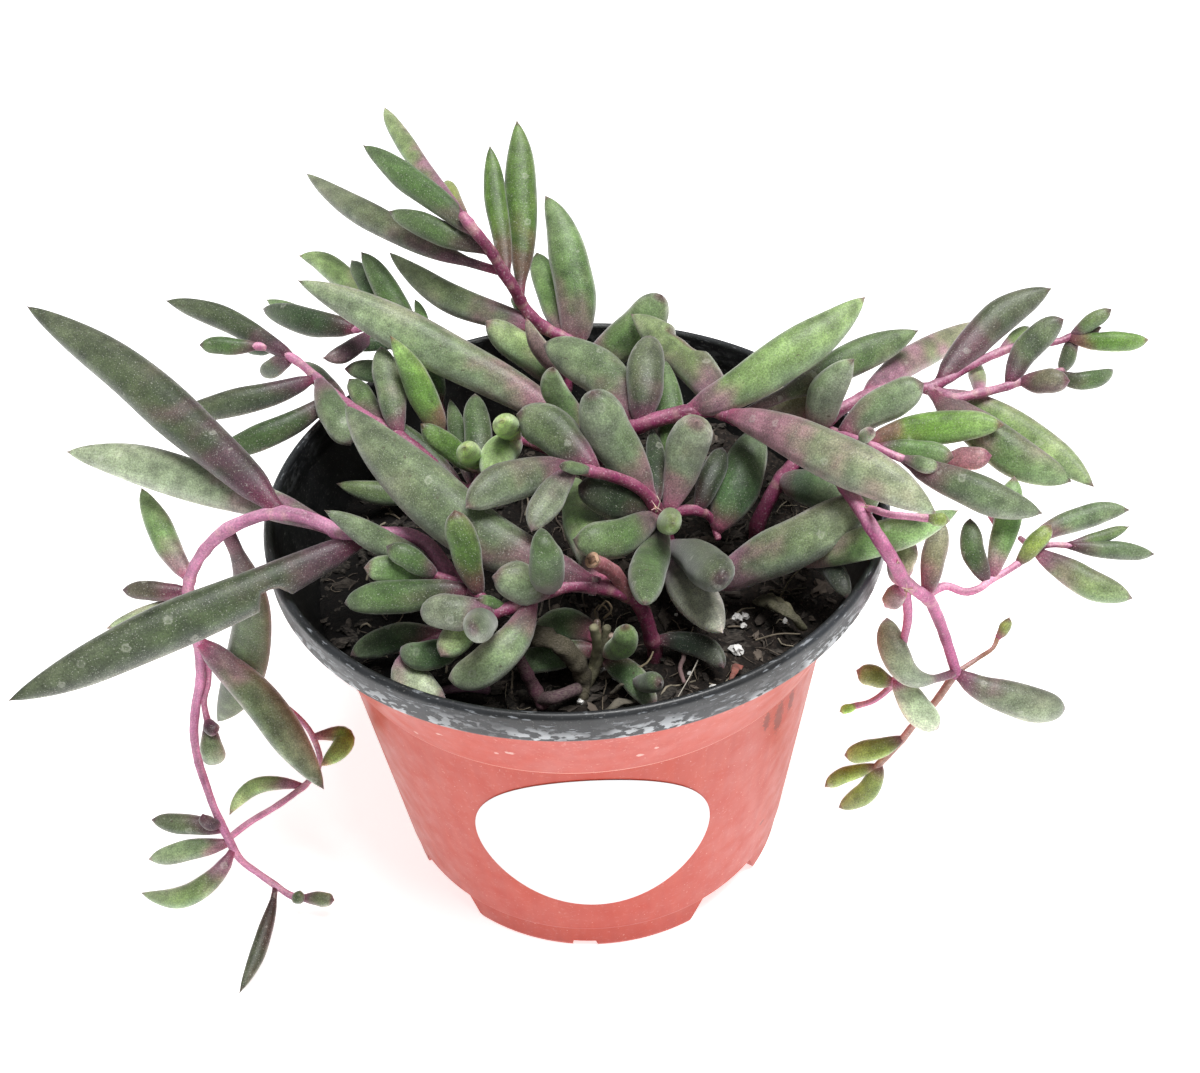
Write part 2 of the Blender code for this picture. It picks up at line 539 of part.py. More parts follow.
def settle(families):
    # Adds tipLift and middleLift to the leaves, so that none runs through another, the pot or the soil
    leaves = [(name, row) for name, (stems, rows) in families.items() for row in rows]
    beads = len(beadShares)
    spots = np.vstack([leafSpots(row, beadShares) for name, row in leaves])
    lines = sightLine(spots)
    owner = np.repeat(np.arange(len(leaves)), beads)
    share = np.tile(beadShares, len(leaves))
    radius = np.concatenate([leafHalfWidth(row, beadShares) for name, row in leaves])
    family = np.repeat([name for name, row in leaves], beads)
    heights = np.concatenate([leafHeights(row, beadShares) for name, row in leaves])
    fixed, fixedRadius, fixedFamily = [], [], []
    for name, (stems, rows) in families.items():
        for row in stems:
            path = stemPath(row, 2.5)
            fixed.append(path)
            fixedRadius.append(stemRadii(row, len(path)))
            fixedFamily += [name] * len(path)
    allRadius = np.concatenate([radius, *fixedRadius])
    allFamily = np.concatenate([family, fixedFamily])
    allOwner = np.concatenate([owner, np.full(len(fixedFamily), -1)])
    allShare = np.concatenate([share, np.zeros(len(fixedFamily))])
    allLines = np.vstack([lines, np.zeros((len(fixedFamily), 3))])
    tipLift, middleLift = np.zeros(len(leaves)), np.zeros(len(leaves))
    first, second = np.triu_indices(len(allRadius), 1)
    keep = (first < len(owner)) & (allOwner[first] != allOwner[second])
    first, second = first[keep], second[keep]
    same = allFamily[first] == allFamily[second]
    gathered = same & ((allShare[first] < gatherShare) & (allShare[second] < gatherShare))
    first, second, same = first[~gathered], second[~gathered], same[~gathered]
    need = allRadius[first] + allRadius[second] + np.where(same, -sameStemOverlap, settleGap)
    start = np.vstack([viewPlace + lines * (heights - viewPlace[2])[:, None], *fixed])
    close = np.linalg.norm(start[first] - start[second], axis=1) < need + settleReach
    first, second, same, need = first[close], second[close], same[close], need[close]
    wall = np.array(potWallMiddle())
    for turn in range(settleRounds):
        raised = heights + tipLift[owner] * share + middleLift[owner] * 4 * share * (1 - share)
        places = np.vstack([viewPlace + lines * (raised - viewPlace[2])[:, None], *fixed])
        gap = places[first] - places[second]
        distance = np.linalg.norm(gap, axis=1).clip(1e-6)
        push = need - distance
        near = push > 0
        a, b = first[near], second[near]
        away = gap[near] / distance[near][:, None]
        leanA = np.einsum("ij,ij->i", away, allLines[a])
        leanB = -np.einsum("ij,ij->i", away, allLines[b])
        weight = leanA ** 2 + leanB ** 2 + flatLean
        rise = np.zeros(len(allRadius))
        count = np.zeros(len(allRadius))
        np.add.at(rise, a, push[near] * leanA / weight)
        np.add.at(rise, b, push[near] * leanB / weight)
        np.add.at(count, a, 1)
        np.add.at(count, b, 1)
        rise = (rise / count.clip(1))[:len(owner)]
        beadPlaces = places[:len(owner)]
        across = np.hypot(beadPlaces[:, 0], beadPlaces[:, 1])
        inSoil = (across < soilReach) & (beadPlaces[:, 2] > soilTop / mm / 2)
        sunk = soilTop / mm + soilGap + radius * leafThickness - beadPlaces[:, 2]
        rise += np.where(inSoil & (sunk > 0), sunk, 0)
        rise += (tableGap + radius * leafThickness - beadPlaces[:, 2]).clip(0)
        for (r0, z0, t0), (r1, z1, t1) in zip(wall[:-1], wall[1:]):
            along = np.array([r1 - r0, z1 - z0])
            offset = np.stack([across - r0, beadPlaces[:, 2] - z0], axis=-1)
            t = (offset @ along / (along @ along)).clip(0, 1)
            offset -= t[:, None] * along
            apart = np.linalg.norm(offset, axis=1).clip(1e-6)
            over = radius + t0 + (t1 - t0) * t + settleGap - apart
            outward = beadPlaces[:, :2] / across[:, None]
            lean = (offset[:, :1] * outward * lines[:, :2]).sum(1) / apart + offset[:, 1] / apart
            rise += np.where(over > 0, over * lean / (lean ** 2 + flatLean), 0)
        pushed = np.bincount(owner, (rise != 0) + 0.3)
        tipLift += tipStep * np.bincount(owner, rise * share) / pushed
        middleLift += middleStep * np.bincount(owner, rise * 4 * share * (1 - share)) / pushed
        tipLift = tipLift.clip(-tipLimit, tipLimit)
        middleLift = middleLift.clip(-middleLimit, middleLimit)
    for (name, row), tip, middle in zip(leaves, tipLift, middleLift):
        row["tipLift"] = round(float(tip), 2)
        row["middleLift"] = round(float(middle), 2)


# Building

def clearScene():
    for item in list(bpy.data.objects):
        bpy.data.objects.remove(item, do_unlink=True)


def collectionNamed(name):
    made = bpy.data.collections.new(name)
    bpy.context.scene.collection.children.link(made)
    return made


def plainMaterial(name, colour, roughness, metallic=0.0):
    made = bpy.data.materials.new(name)
    made.use_nodes = True
    shader = made.node_tree.nodes["Principled BSDF"]
    shader.inputs["Base Color"].default_value = (*colour, 1)
    shader.inputs["Roughness"].default_value = roughness
    shader.inputs["Metallic"].default_value = metallic
    return made


def meshObject(name, mesh, collection):
    made = bpy.data.objects.new(name, mesh)
    collection.objects.link(made)
    return made


def applyModifiers(item):
    # Replaces the mesh by what its modifiers make of it
    bpy.context.view_layer.update()
    evaluated = item.evaluated_get(bpy.context.evaluated_depsgraph_get())
    finished = bpy.data.meshes.new_from_object(evaluated)
    item.modifiers.clear()
    item.data = finished


def smoothMesh(mesh, degrees=35):
    mesh.shade_smooth()
    mesh.set_sharp_from_angle(angle=math.radians(degrees))


def turned(name, profile, steps, collection):
    # A turned solid: the half section screwed once round the upright axis
    mesh = bpy.data.meshes.new(name)
    edges = [(k, k + 1) for k in range(len(profile) - 1)]
    mesh.from_pydata([(r, 0, z) for r, z in profile], edges, [])
    made = meshObject(name, mesh, collection)
    screw = made.modifiers.new("turn", "SCREW")
    screw.steps = steps
    screw.render_steps = steps
    screw.use_merge_vertices = True
    screw.merge_threshold = 0.00001
    applyModifiers(made)
    return made


def cut(item, cutter, operation="DIFFERENCE"):
    boolean = item.modifiers.new("cut", "BOOLEAN")
    boolean.operation = operation
    boolean.object = cutter
    applyModifiers(item)
    bpy.data.objects.remove(cutter, do_unlink=True)


def faceOutward(bm):
    bmesh.ops.recalc_face_normals(bm, faces=bm.faces)
    if bm.calc_volume(signed=True) < 0:
        bmesh.ops.reverse_faces(bm, faces=bm.faces)


def cutterFrom(bm, name, collection):
    faceOutward(bm)
    mesh = bpy.data.meshes.new(name)
    bm.to_mesh(mesh)
    bm.free()
    made = meshObject(name, mesh, collection)
    made.hide_render = True
    made.display_type = "WIRE"
    return made


def footGapCutter(turn, collection):
    # A wedge on the floor that is wider at the table than at the ledge
    bm = bmesh.new()
    bmesh.ops.create_cube(bm, size=1)
    inner, outer = footRadius - 4 * footWidth, rimRadius
    for vert in bm.verts:
        reach = outer if vert.co.x > 0 else inner
        half = gapHalfTop if vert.co.z > 0 else gapHalfBottom
        angle = turn + math.copysign(half, vert.co.y)
        height = ledgeHeight - 0.25 * mm if vert.co.z > 0 else -1 * mm
        vert.co = (reach * math.cos(angle), reach * math.sin(angle), height)
    return cutterFrom(bm, "foot_gap", collection)


def notchCutter(turn, collection):
    bm = bmesh.new()
    bmesh.ops.create_cube(bm, size=1)
    for vert in bm.verts:
        reach = footRadius + math.copysign(2 * footWidth, vert.co.x)
        side = math.copysign(notchWidth / 2, vert.co.y) * (0.8 if vert.co.z > 0 else 1.0)
        height = notchHeight if vert.co.z > 0 else -1 * mm
        vert.co = (reach * math.cos(turn) - side * math.sin(turn),
                   reach * math.sin(turn) + side * math.cos(turn), height)
    return cutterFrom(bm, "foot_notch", collection)


def postCutter(name, x, y, bottom, top, radius, collection):
    bm = bmesh.new()
    bmesh.ops.create_cone(bm, cap_ends=True, segments=16, radius1=radius, radius2=radius,
                          depth=top - bottom)
    for vert in bm.verts:
        vert.co.x += x
        vert.co.y += y
        vert.co.z += (top + bottom) / 2
    return cutterFrom(bm, name, collection)


def buildPot(collection, cutters):
    pot = turned("pot", potShape(), potSteps, collection)
    for k in range(footCount):
        middle = footTurn + 2 * math.pi * k / footCount
        between = middle + math.pi / footCount
        cut(pot, footGapCutter(between, cutters))
        cut(pot, notchCutter(middle, cutters))
        x, y = drainReach * math.cos(between), drainReach * math.sin(between)
        cut(pot, postCutter("drain", x, y, 0, 2 * ledgeHeight, drainRadius, cutters))
    smoothMesh(pot.data)
    pot.data.materials.append(plainMaterial("terracotta_plastic", (0.62, 0.16, 0.10), 0.45))
    return pot


def soilSurface(x, y):
    # Gentle lumps, lower towards the wall
    across = math.hypot(x, y) / rimRadius
    lumps = math.sin(x / (5.1 * mm) + 1.3) * math.cos(y / (6.3 * mm) - 0.4)
    lumps += 0.6 * math.sin((x + y) / (3.7 * mm))
    return soilTop - soilSag * across ** 2 + soilRelief * lumps


def buildSoil(collection, cutters):
    section = [(radius, height) for radius, height in potShape() if radius > 0]
    floorInside, lowerInside, upperInside, collarInside = section[:4]
    edgeHeight = soilTop - soilSag - 2 * soilRelief
    share = (edgeHeight - upperInside[1]) / (collarInside[1] - upperInside[1])
    topRadius = upperInside[0] + share * (collarInside[0] - upperInside[0]) - clearance
    profile = [(topRadius * k / soilRings, soilTop) for k in range(soilRings + 1)]
    profile += [(upperInside[0] - clearance, upperInside[1]), (lowerInside[0] - clearance, lowerInside[1]),
                (floorInside[0] - clearance, floorInside[1] + clearance), (0, floorInside[1] + clearance)]
    soil = turned("soil", profile, soilSteps, collection)
    for vert in soil.data.vertices:
        if vert.co.z > soilTop - 0.01 * mm:
            vert.co.z = soilSurface(vert.co.x, vert.co.y)
    for stems, leaves in plants.values():
        for row in stems:
            if row["rooted"]:
                x, y, top = sightPoint(row["points"][0][:2], soilTop / mm)[0] * mm
                radius = row["footDiameter"] / 2 * mm + 2 * clearance
                bottom = soilTop - rootDepth * mm - 2 * clearance
                cut(soil, postCutter("hole", x, y, bottom, potHeight, radius, cutters))
    smoothMesh(soil.data)
    soil.data.materials.append(plainMaterial("potting_soil", (0.018, 0.014, 0.011), 0.95))
    return soil


def buildSticker(collection, cutters):
    # A round paper sticker: a thin band on the cone of the wall, cut out by a level post
    lean = (collarRadius - ledgeRadius) / (potHeight - collarDrop - ledgeHeight)
    low, high = stickerHeight - 1.2 * stickerRadius, potHeight - collarDrop - 2 * clearance
    lowInside = ledgeRadius + clearance + lean * (low - ledgeHeight)
    highInside = ledgeRadius + clearance + lean * (high - ledgeHeight)
    band = [(lowInside, low), (lowInside + stickerThickness, low), (highInside + stickerThickness, high),
            (highInside, high), (lowInside, low)]
    sticker = turned("sticker", band, potSteps, collection)
    bm = bmesh.new()
    bmesh.ops.create_cone(bm, cap_ends=True, segments=potSteps, radius1=stickerRadius,
                          radius2=stickerRadius, depth=rimRadius)
    for vert in bm.verts:
        x, y, z = vert.co
        vert.co = (x, z - rimRadius / 2 - ledgeRadius / 4, y + stickerHeight)
    cut(sticker, cutterFrom(bm, "sticker_outline", cutters), "INTERSECT")
    smoothMesh(sticker.data)
    sticker.data.materials.append(plainMaterial("white_paper", (0.86, 0.86, 0.86), 0.5))
    return sticker


def leafFacets(width):
    # Sides and rings of a leaf's globe: more on a broad leaf
    sides = 5 if width < 5 else 6
    rings = 4 if width < 4.2 else 6 if width > 7.4 else 5
    return sides, rings


def leafObject(name, row, collection):
    # A globe whose rings are moved along the midrib, each with the leaf's width and thickness there
    sides, rings = leafFacets(row["width"])
    bm = bmesh.new()
    bmesh.ops.create_uvsphere(bm, u_segments=sides, v_segments=rings, radius=1)
    shares = np.array([(1 - vert.co.z) / 2 for vert in bm.verts]).clip(0, 1)
    places = leafMidrib(row, shares)
    nearby = 0.02
    ahead = leafMidrib(row, (shares + nearby).clip(0, 1)) - leafMidrib(row, (shares - nearby).clip(0, 1))
    halves = leafHalfWidth(row, shares)
    for vert, place, along, half in zip(bm.verts, places, ahead, halves):
        along = along / np.linalg.norm(along)
        side = np.cross(along, viewPlace - place)
        side /= np.linalg.norm(side)
        face = np.cross(side, along)
        reach = math.hypot(vert.co.x, vert.co.y)
        cosine, sine = (vert.co.x / reach, vert.co.y / reach) if reach > 1e-6 else (0, 0)
        spot = place + side * cosine * half + face * sine * half * leafThickness
        vert.co = spot * mm
    faceOutward(bm)
    mesh = bpy.data.meshes.new(name)
    bm.to_mesh(mesh)
    bm.free()
    return meshObject(name, mesh, collection)


def stemObject(name, row, collection):
    # A round stem: a curve with a bevel, made into a closed mesh
    path = stemPath(row, stemSpacing)
    radii = stemRadii(row, len(path))
    curve = bpy.data.curves.new(name, "CURVE")
    curve.dimensions = "3D"
    curve.bevel_depth = mm
    curve.bevel_resolution = 1
    curve.use_fill_caps = True
    spline = curve.splines.new("POLY")
    spline.points.add(len(path) - 1)
    for point, place, radius in zip(spline.points, path, radii):
        point.co = (*(place * mm), 1)
        point.radius = radius
    guide = bpy.data.objects.new(name, curve)
    collection.objects.link(guide)
    bpy.context.view_layer.update()
    mesh = bpy.data.meshes.new_from_object(guide.evaluated_get(bpy.context.evaluated_depsgraph_get()))
    made = meshObject(name + "_solid", mesh, collection)
    made.matrix_world = guide.matrix_world
    bpy.data.objects.remove(guide, do_unlink=True)
    bm = bmesh.new()
    bm.from_mesh(mesh)
    bmesh.ops.remove_doubles(bm, verts=bm.verts, dist=0.00001)
    faceOutward(bm)
    bm.to_mesh(mesh)
    bm.free()
    return made


def buildPlant(name, stems, leaves, material, collection):
    # One stem with its side branches and leaves, fused into one solid. The exact solver leaves some
    # leaves loose here and loses most of the right stem, so the manifold solver joins them.
    pieces = collectionNamed(name + "_pieces")
    trunk = stemObject(name, stems[0], collection)
    trunk.name = name
    for k, row in enumerate(stems[1:]):
        stemObject(f"branch_{k}", row, pieces)
    for k, row in enumerate(leaves):
        leafObject(f"leaf_{k}", row, pieces)
    fuse = trunk.modifiers.new("fuse", "BOOLEAN")
    fuse.operation = "UNION"
    fuse.solver = "MANIFOLD"
    fuse.operand_type = "COLLECTION"
    fuse.collection = pieces
    applyModifiers(trunk)
    for item in list(pieces.objects):
        bpy.data.objects.remove(item, do_unlink=True)
    bpy.data.collections.remove(pieces)
    smoothMesh(trunk.data, 60)
    trunk.data.materials.clear()
    trunk.data.materials.append(material)
    return trunk


def centreOnOrigin(items):
    # Moves all the parts together, so that the middle of their box stands over the origin
    corners = [vert.co for item in items for vert in item.data.vertices]
    middleX = (min(co.x for co in corners) + max(co.x for co in corners)) / 2
    middleY = (min(co.y for co in corners) + max(co.y for co in corners)) / 2
    for item in items:
        item.data.transform(Matrix.Translation(Vector((-middleX, -middleY, 0))))
    print(f"pot axis at x {-middleX / mm:.2f} mm, y {-middleY / mm:.2f} mm")


def main():
    clearScene()
    parts = collectionNamed("potted_string_of_pickles")
    cutters = collectionNamed("cutters")
    seatLeaves(plants)
    settle(plants)
    buildPot(parts, cutters)
    buildSoil(parts, cutters)
    buildSticker(parts, cutters)
    leafGreen = plainMaterial("leaf_and_stem", (0.13, 0.20, 0.10), 0.5)
    for name, (stems, leaves) in plants.items():
        buildPlant(name, stems, leaves, leafGreen, parts)
    centreOnOrigin(list(parts.objects))
    bpy.data.collections.remove(cutters)


main()
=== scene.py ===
import math
import random

import bmesh
import bpy
import numpy as np
from mathutils import Matrix, Vector, noise


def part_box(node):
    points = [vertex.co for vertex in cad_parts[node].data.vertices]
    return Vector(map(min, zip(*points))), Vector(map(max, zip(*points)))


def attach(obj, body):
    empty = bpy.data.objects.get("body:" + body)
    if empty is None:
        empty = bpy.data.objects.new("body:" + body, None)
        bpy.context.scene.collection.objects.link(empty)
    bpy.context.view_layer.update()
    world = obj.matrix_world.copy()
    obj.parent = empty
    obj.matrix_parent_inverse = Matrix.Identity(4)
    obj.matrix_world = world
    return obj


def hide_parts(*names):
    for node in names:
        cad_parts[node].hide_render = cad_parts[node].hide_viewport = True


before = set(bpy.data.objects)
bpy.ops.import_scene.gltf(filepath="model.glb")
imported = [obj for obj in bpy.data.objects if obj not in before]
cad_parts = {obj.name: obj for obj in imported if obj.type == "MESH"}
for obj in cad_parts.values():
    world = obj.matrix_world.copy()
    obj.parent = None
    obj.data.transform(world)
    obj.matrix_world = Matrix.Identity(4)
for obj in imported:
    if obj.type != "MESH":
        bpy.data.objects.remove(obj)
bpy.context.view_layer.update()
bpy.context.scene.view_settings.view_transform = "Standard"
print("frame loaded")

# A young string of pickles in a thermoformed nursery pot. The layout is in millimetres round the pot's
# axis, with the table at height 0. Meshes keep that origin, and each piece stands at potAxis.
mm = 0.001
potLow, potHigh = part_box("pot")
potAxis = Vector(((potLow.x + potHigh.x) / 2, (potLow.y + potHigh.y) / 2, 0))

# Where the photograph was taken from: focal length, middle and width in pixels, then the pivot of the view
# and the camera's distance in millimetres, its pitch and its roll
viewFocal = 1300.0
viewMiddle = (600.0, 536.5)
viewWidth = 1200
viewPivot = np.array([3.7, 0.0, 68.5])
viewDistance = 228.3
viewPitch = math.radians(40.51)
viewRoll = math.radians(-2.93)


def viewAxes():  # the camera's place and its forward, right and up directions
    back = np.array([0.0, -math.cos(viewPitch), math.sin(viewPitch)])
    right = np.array([1.0, 0.0, 0.0])
    up = np.cross(right, -back)
    rolledRight = math.cos(viewRoll) * right + math.sin(viewRoll) * up
    rolledUp = math.cos(viewRoll) * up - math.sin(viewRoll) * right
    return viewPivot + viewDistance * back, -back, rolledRight, rolledUp


viewPlace, viewForward, viewRight, viewUp = viewAxes()


def sightLine(spots):  # how far a point on each sight line moves for 1 mm of height
    spots = np.atleast_2d(np.asarray(spots, float))
    columns = (spots[:, 0] - viewMiddle[0]) / viewFocal
    rows = (spots[:, 1] - viewMiddle[1]) / viewFocal
    rays = viewForward + columns[:, None] * viewRight - rows[:, None] * viewUp
    return rays / rays[:, 2:3]


def sightPoint(spots, heights):  # the points that stand at these heights behind these picture spots
    heights = np.atleast_1d(np.asarray(heights, float))
    return viewPlace + sightLine(spots) * (heights[:, None] - viewPlace[2])


# Colours, nodes and meshes

def linear(code):  # an sRGB hex colour turned to linear light
    parts = [int(code[k:k + 2], 16) / 255 for k in (1, 3, 5)]
    return np.array([p / 12.92 if p <= 0.04045 else ((p + 0.055) / 1.055) ** 2.4 for p in parts])


def addNode(tree, kind, inputs=None, **settings):  # inputs by name or number: sockets, values, hex colours
    made = tree.nodes.new("ShaderNode" + kind)
    for name, value in settings.items():
        setattr(made, name, value)
    for name, value in (inputs or {}).items():
        if isinstance(value, bpy.types.NodeSocket):
            tree.links.new(value, made.inputs[name])
        else:
            made.inputs[name].default_value = (*linear(value), 1) if isinstance(value, str) else value
    return made.outputs


socketNames = {"subsurface": "Subsurface Weight", "radius": "Subsurface Radius", "scale": "Subsurface Scale",
               "ior": "IOR", "roughness": "Roughness", "colour": "Base Color", "sheen": "Sheen Weight"}


def newMaterial(name, **settings):  # a material and its node tree; constant sockets are set by short names
    made = bpy.data.materials.new(name)
    made.use_nodes = True
    for key, value in settings.items():
        made.node_tree.nodes["Principled BSDF"].inputs[socketNames[key]].default_value = value
    return made, made.node_tree


def objectSpace(tree):
    return addNode(tree, "TexCoord")["Object"]


def grain(tree, size, detail=3, space=None, stretch=None):  # noise whose lumps are about size mm across
    space = space or objectSpace(tree)
    if stretch:
        space = addNode(tree, "Mapping", {"Vector": space, "Scale": stretch})[0]
    return addNode(tree, "TexNoise", {"Vector": space, "Scale": 1 / (size * mm), "Detail": detail})[0]


def remap(tree, value, low, high, toLow=0.0, toHigh=1.0):
    return addNode(tree, "MapRange", {0: value, 1: low, 2: high, 3: toLow, 4: toHigh})[0]


def times(tree, first, *others):  # the product of a socket and of others that are sockets or numbers
    for other in others:
        first = addNode(tree, "Math", {0: first, 1: other}, operation="MULTIPLY")[0]
    return first


def blendColour(tree, factor, first, second, mode="MIX"):
    return addNode(tree, "Mix", {0: factor, 6: first, 7: second}, data_type="RGBA", blend_type=mode)[2]


def stain(tree, colour, tone, share, size, detail, low, high, **more):  # lays a tone where a grain is high
    spots = remap(tree, grain(tree, size, detail, **more), low, high)
    return blendColour(tree, times(tree, spots, share), colour, tone)


def shade(tree, colour, *values):  # darkens or lightens a colour by the product of these values
    value = times(tree, *values)
    grey = addNode(tree, "CombineColor", {0: value, 1: value, 2: value})[0]
    return blendColour(tree, 1.0, colour, grey, "MULTIPLY")


def dress(made, colour, relief, roughness=None):  # relief: grain size and detail, depth in mm, strength
    tree = made.node_tree
    size, detail, depth, strength = relief
    bump = addNode(tree, "Bump", {"Strength": strength, "Distance": depth * mm,
                                  "Height": grain(tree, size, detail)})[0]
    for name, source in (("Base Color", colour), ("Normal", bump), ("Roughness", roughness)):
        if source:
            tree.links.new(source, tree.nodes["Principled BSDF"].inputs[name])
    return made


def joinBodies(bodies):  # one mesh of many bodies, each as (points, faces, {attribute: values per point})
    points, faces, attributes = [], [], {}
    count = 0
    for places, corners, values in bodies:
        points.append(places.reshape(-1, 3))
        faces += [tuple(corner + count for corner in face) for face in corners]
        count += len(points[-1])
        for key, value in values.items():
            attributes.setdefault(key, []).append(value.reshape(len(points[-1]), -1).squeeze())
    return np.vstack(points), faces, {key: np.concatenate(parts) for key, parts in attributes.items()}


def makePiece(name, points, faces, attributes, materials, slot, replaces=None, sharp=None):
    mesh = bpy.data.meshes.new(name)
    mesh.from_pydata(np.asarray(points, float) * mm, [], faces)
    for key, values in attributes.items():
        values = np.asarray(values, np.float32)
        if values.ndim == 2:
            full = np.concatenate([values, np.ones((len(values), 1), np.float32)], axis=1)
            mesh.attributes.new(key, "FLOAT_COLOR", "POINT").data.foreach_set("color", full.ravel())
        else:
            mesh.attributes.new(key, "FLOAT", "POINT").data.foreach_set("value", values)
    for material in materials:
        mesh.materials.append(material)
    mesh.shade_smooth()
    if sharp:
        mesh.set_sharp_from_angle(angle=math.radians(sharp))
    piece = bpy.data.objects.new(name, mesh)
    piece.location = potAxis
    bpy.context.scene.collection.objects.link(piece)
    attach(piece, "root")
    if replaces:
        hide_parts(replaces)
    return piece


def smoothStep(low, high, values):
    t = ((np.asarray(values, float) - low) / (high - low)).clip(0, 1)
    return t * t * (3 - 2 * t)


def mixed(first, second, weight):  # rows of colours, weight 0 gives the first
    return first + (second - first) * np.asarray(weight)[..., None]


def noiseOver(points, scale, shift=(0, 0, 0)):  # smooth noise round 0 at each of the points
    flat = [noise.noise(Vector(p) * scale + Vector(shift)) for p in np.reshape(points, (-1, 3))]
    return np.array(flat).reshape(np.shape(points)[:-1])


# The pot, the soil and the sticker, in millimetres
rimRadius, potHeight = 52.5, 80.5
lipWidth, lipFlare, rimRound, lipRound = 1.6, 0.5, 0.6, 0.5
skirtDrop = 5.5
collarDrop, collarRadius, collarStep = 21.9, 44.2, 1.0
wallThickness = 0.9
ledgeHeight, ledgeRadius = 6.5, 38.7
footRadius, footWidth = 37.6, 1.6
upperCollar = rimRadius - lipWidth - lipFlare
soilTop, soilSag = 66.0, 0.8
stickerRadius, stickerHeight = 19.9, 36.3

# Leaves and stems
stalkShare, leafThickness = 0.2, 0.74
rootDepth, rootRise = 8.0, 2.5

# The plant's looks: body, underside, foot and tip colour of a leaf, and how much dust lies on it
leafLooks = {
    "sage": ("#9fac93", "#8eab77", "#a0727f", "#7d6468", 0.46),
    "ash": ("#c2ceb2", "#a9bd95", "#9f6f84", "#8f7680", 0.60),
    "jade": ("#9ebb8a", "#98b96f", "#a5788a", "#8a6c74", 0.28),
    "meadow": ("#84ae5e", "#80b049", "#8f6c5c", "#86564e", 0.16),
    "moss": ("#7a9863", "#729a54", "#896e70", "#745a60", 0.30),
    "bottle": ("#526c4d", "#4b693f", "#664a4a", "#584852", 0.26),
    "slate": ("#7b8674", "#71865a", "#7f5868", "#665159", 0.54),
    "olive": ("#909860", "#8ea04d", "#846660", "#74605c", 0.28),
    "straw": ("#9fb669", "#a6be5c", "#8f8462", "#7a5a4e", 0.10),
    "lime": ("#a4cb66", "#9ac152", "#969060", "#a0b864", 0.00),
    "shade": ("#39493c", "#324232", "#423836", "#3c3337", 0.14),
    "plum": ("#8f7376", "#828463", "#925068", "#724458", 0.28),
    "rose": ("#cc8690", "#bd858c", "#bb6884", "#924e6a", 0.14),
    "wine": ("#4b2c3d", "#4f3140", "#6c2c4b", "#38212e", 0.12),
    # The next look: a white mineral crust, its colours made paler still as painted light, for a leaf that
    # lies in shade.
    "crusted": ("#c4c9b6", "#b0b8a0", "#988490", "#c0c0b0", 1.00),
}

# The plant's layout. Spots (column, row) are pixels of the photograph's 1200 x 1073, heights, widths and
# diameters are millimetres. A row that starts with "stem" gives the stem's first and last diameter, and the
# rows below it its spots with their heights. Every other row is a leaf: look, foot, tip, width, height of
# foot and tip. Then come named options:
# via: a spot on the midrib between foot and tip        arch: mm that the midrib's middle stands higher
# neck, belly, taper: length of the thin stalk, place of the widest part and fullness, as shares
# light: painted light, a brightness that lightens or darkens the whole leaf    flush: amount of purple    blunt: 1 for a round tip    rings: growth rings round a bud
# bite: middle and reach as shares of the length, side, share of the half width that is gone
# rooted: grows out of the soil    tone: the stem's own colour    cut: ends in a flat cut
plants = {}


def plainValue(word):
    if word.startswith("#"):
        return word
    numbers = tuple(float(number) for number in word.split(","))
    return numbers if len(numbers) > 1 else numbers[0]


def plant(table):  # the stems and leaves of one piece
    stems, leaves = [], []
    for line in table.strip().split("\n"):
        first, *words = line.split()
        own = {key: plainValue(value) for key, value in (word.split("=") for word in words if "=" in word)}
        plain = [plainValue(word) for word in words if "=" not in word]
        if first == "stem":
            thick, thin = plain
            stems.append({"points": [], "footDiameter": thick, "tipDiameter": thin, "rooted": 0, **own})
        elif first in leafLooks:
            foot, tip, width, (footHeight, tipHeight) = plain
            middle = own.get("via", ((foot[0] + tip[0]) / 2, (foot[1] + tip[1]) / 2))
            leaves.append({"look": first, "foot": foot, "middle": middle, "tip": tip, "width": width,
                           "footHeight": footHeight, "tipHeight": tipHeight, "arch": 0.0, "neck": 0.0,
                           "belly": 0.55, "taper": 0.8, **own})
        else:
            stems[-1]["points"] += [plainValue(first), *plain]
    return stems, leaves


# Stem that climbs at the back, with tall leaves
plants["stem_back"] = plant("""
stem 2.8 1.9 rooted=1
560,440,66 563,400,76 570,366,83 575,344,87 560,336,88.5 545,328,90 533,318,92 524,307,94 519,298,96
512,285,99 503,272,101.5 490,250,106 478,235,109 463,216,112
moss 478,235 364,146 5.0 109,118 via=418,186 light=0.7
jade 463,216 385,108 3.6 112,119 via=411,152 light=1.1
olive 461,212 446,181 2.7 111,111 belly=0.6 light=1.5
slate 503,272 307,174 5.2 101,107 via=398,232 neck=0.2 flush=1.0 light=1.15
moss 492,253 390,212 4.6 105,110 neck=0.1 light=0.65
meadow 521,298 517,122 6.0 95,119 via=522,205 neck=0.1 light=0.6
meadow 510,278 490,147 4.2 99,116 via=497,205 light=0.6
slate 538,330 390,253 5.6 90,97 via=456,300 belly=0.5 light=1.7
moss 592,352 546,197 7.6 84,107 via=572,270 belly=0.4 blunt=0.35 flush=0.8
moss 566,340 537,254 5.4 88,97 blunt=0.9 light=1.45
moss 530,316 513,297 2.5 91,93
jade 566,385 487,322 6.0 79,93 light=1.15
plum 565,377 526,318 3.6 82,97 via=543,352 belly=0.4 blunt=0.0 light=1.7
moss 572,380 661,296 7.8 78,98 via=625,340 belly=0.62 light=1.1
""")

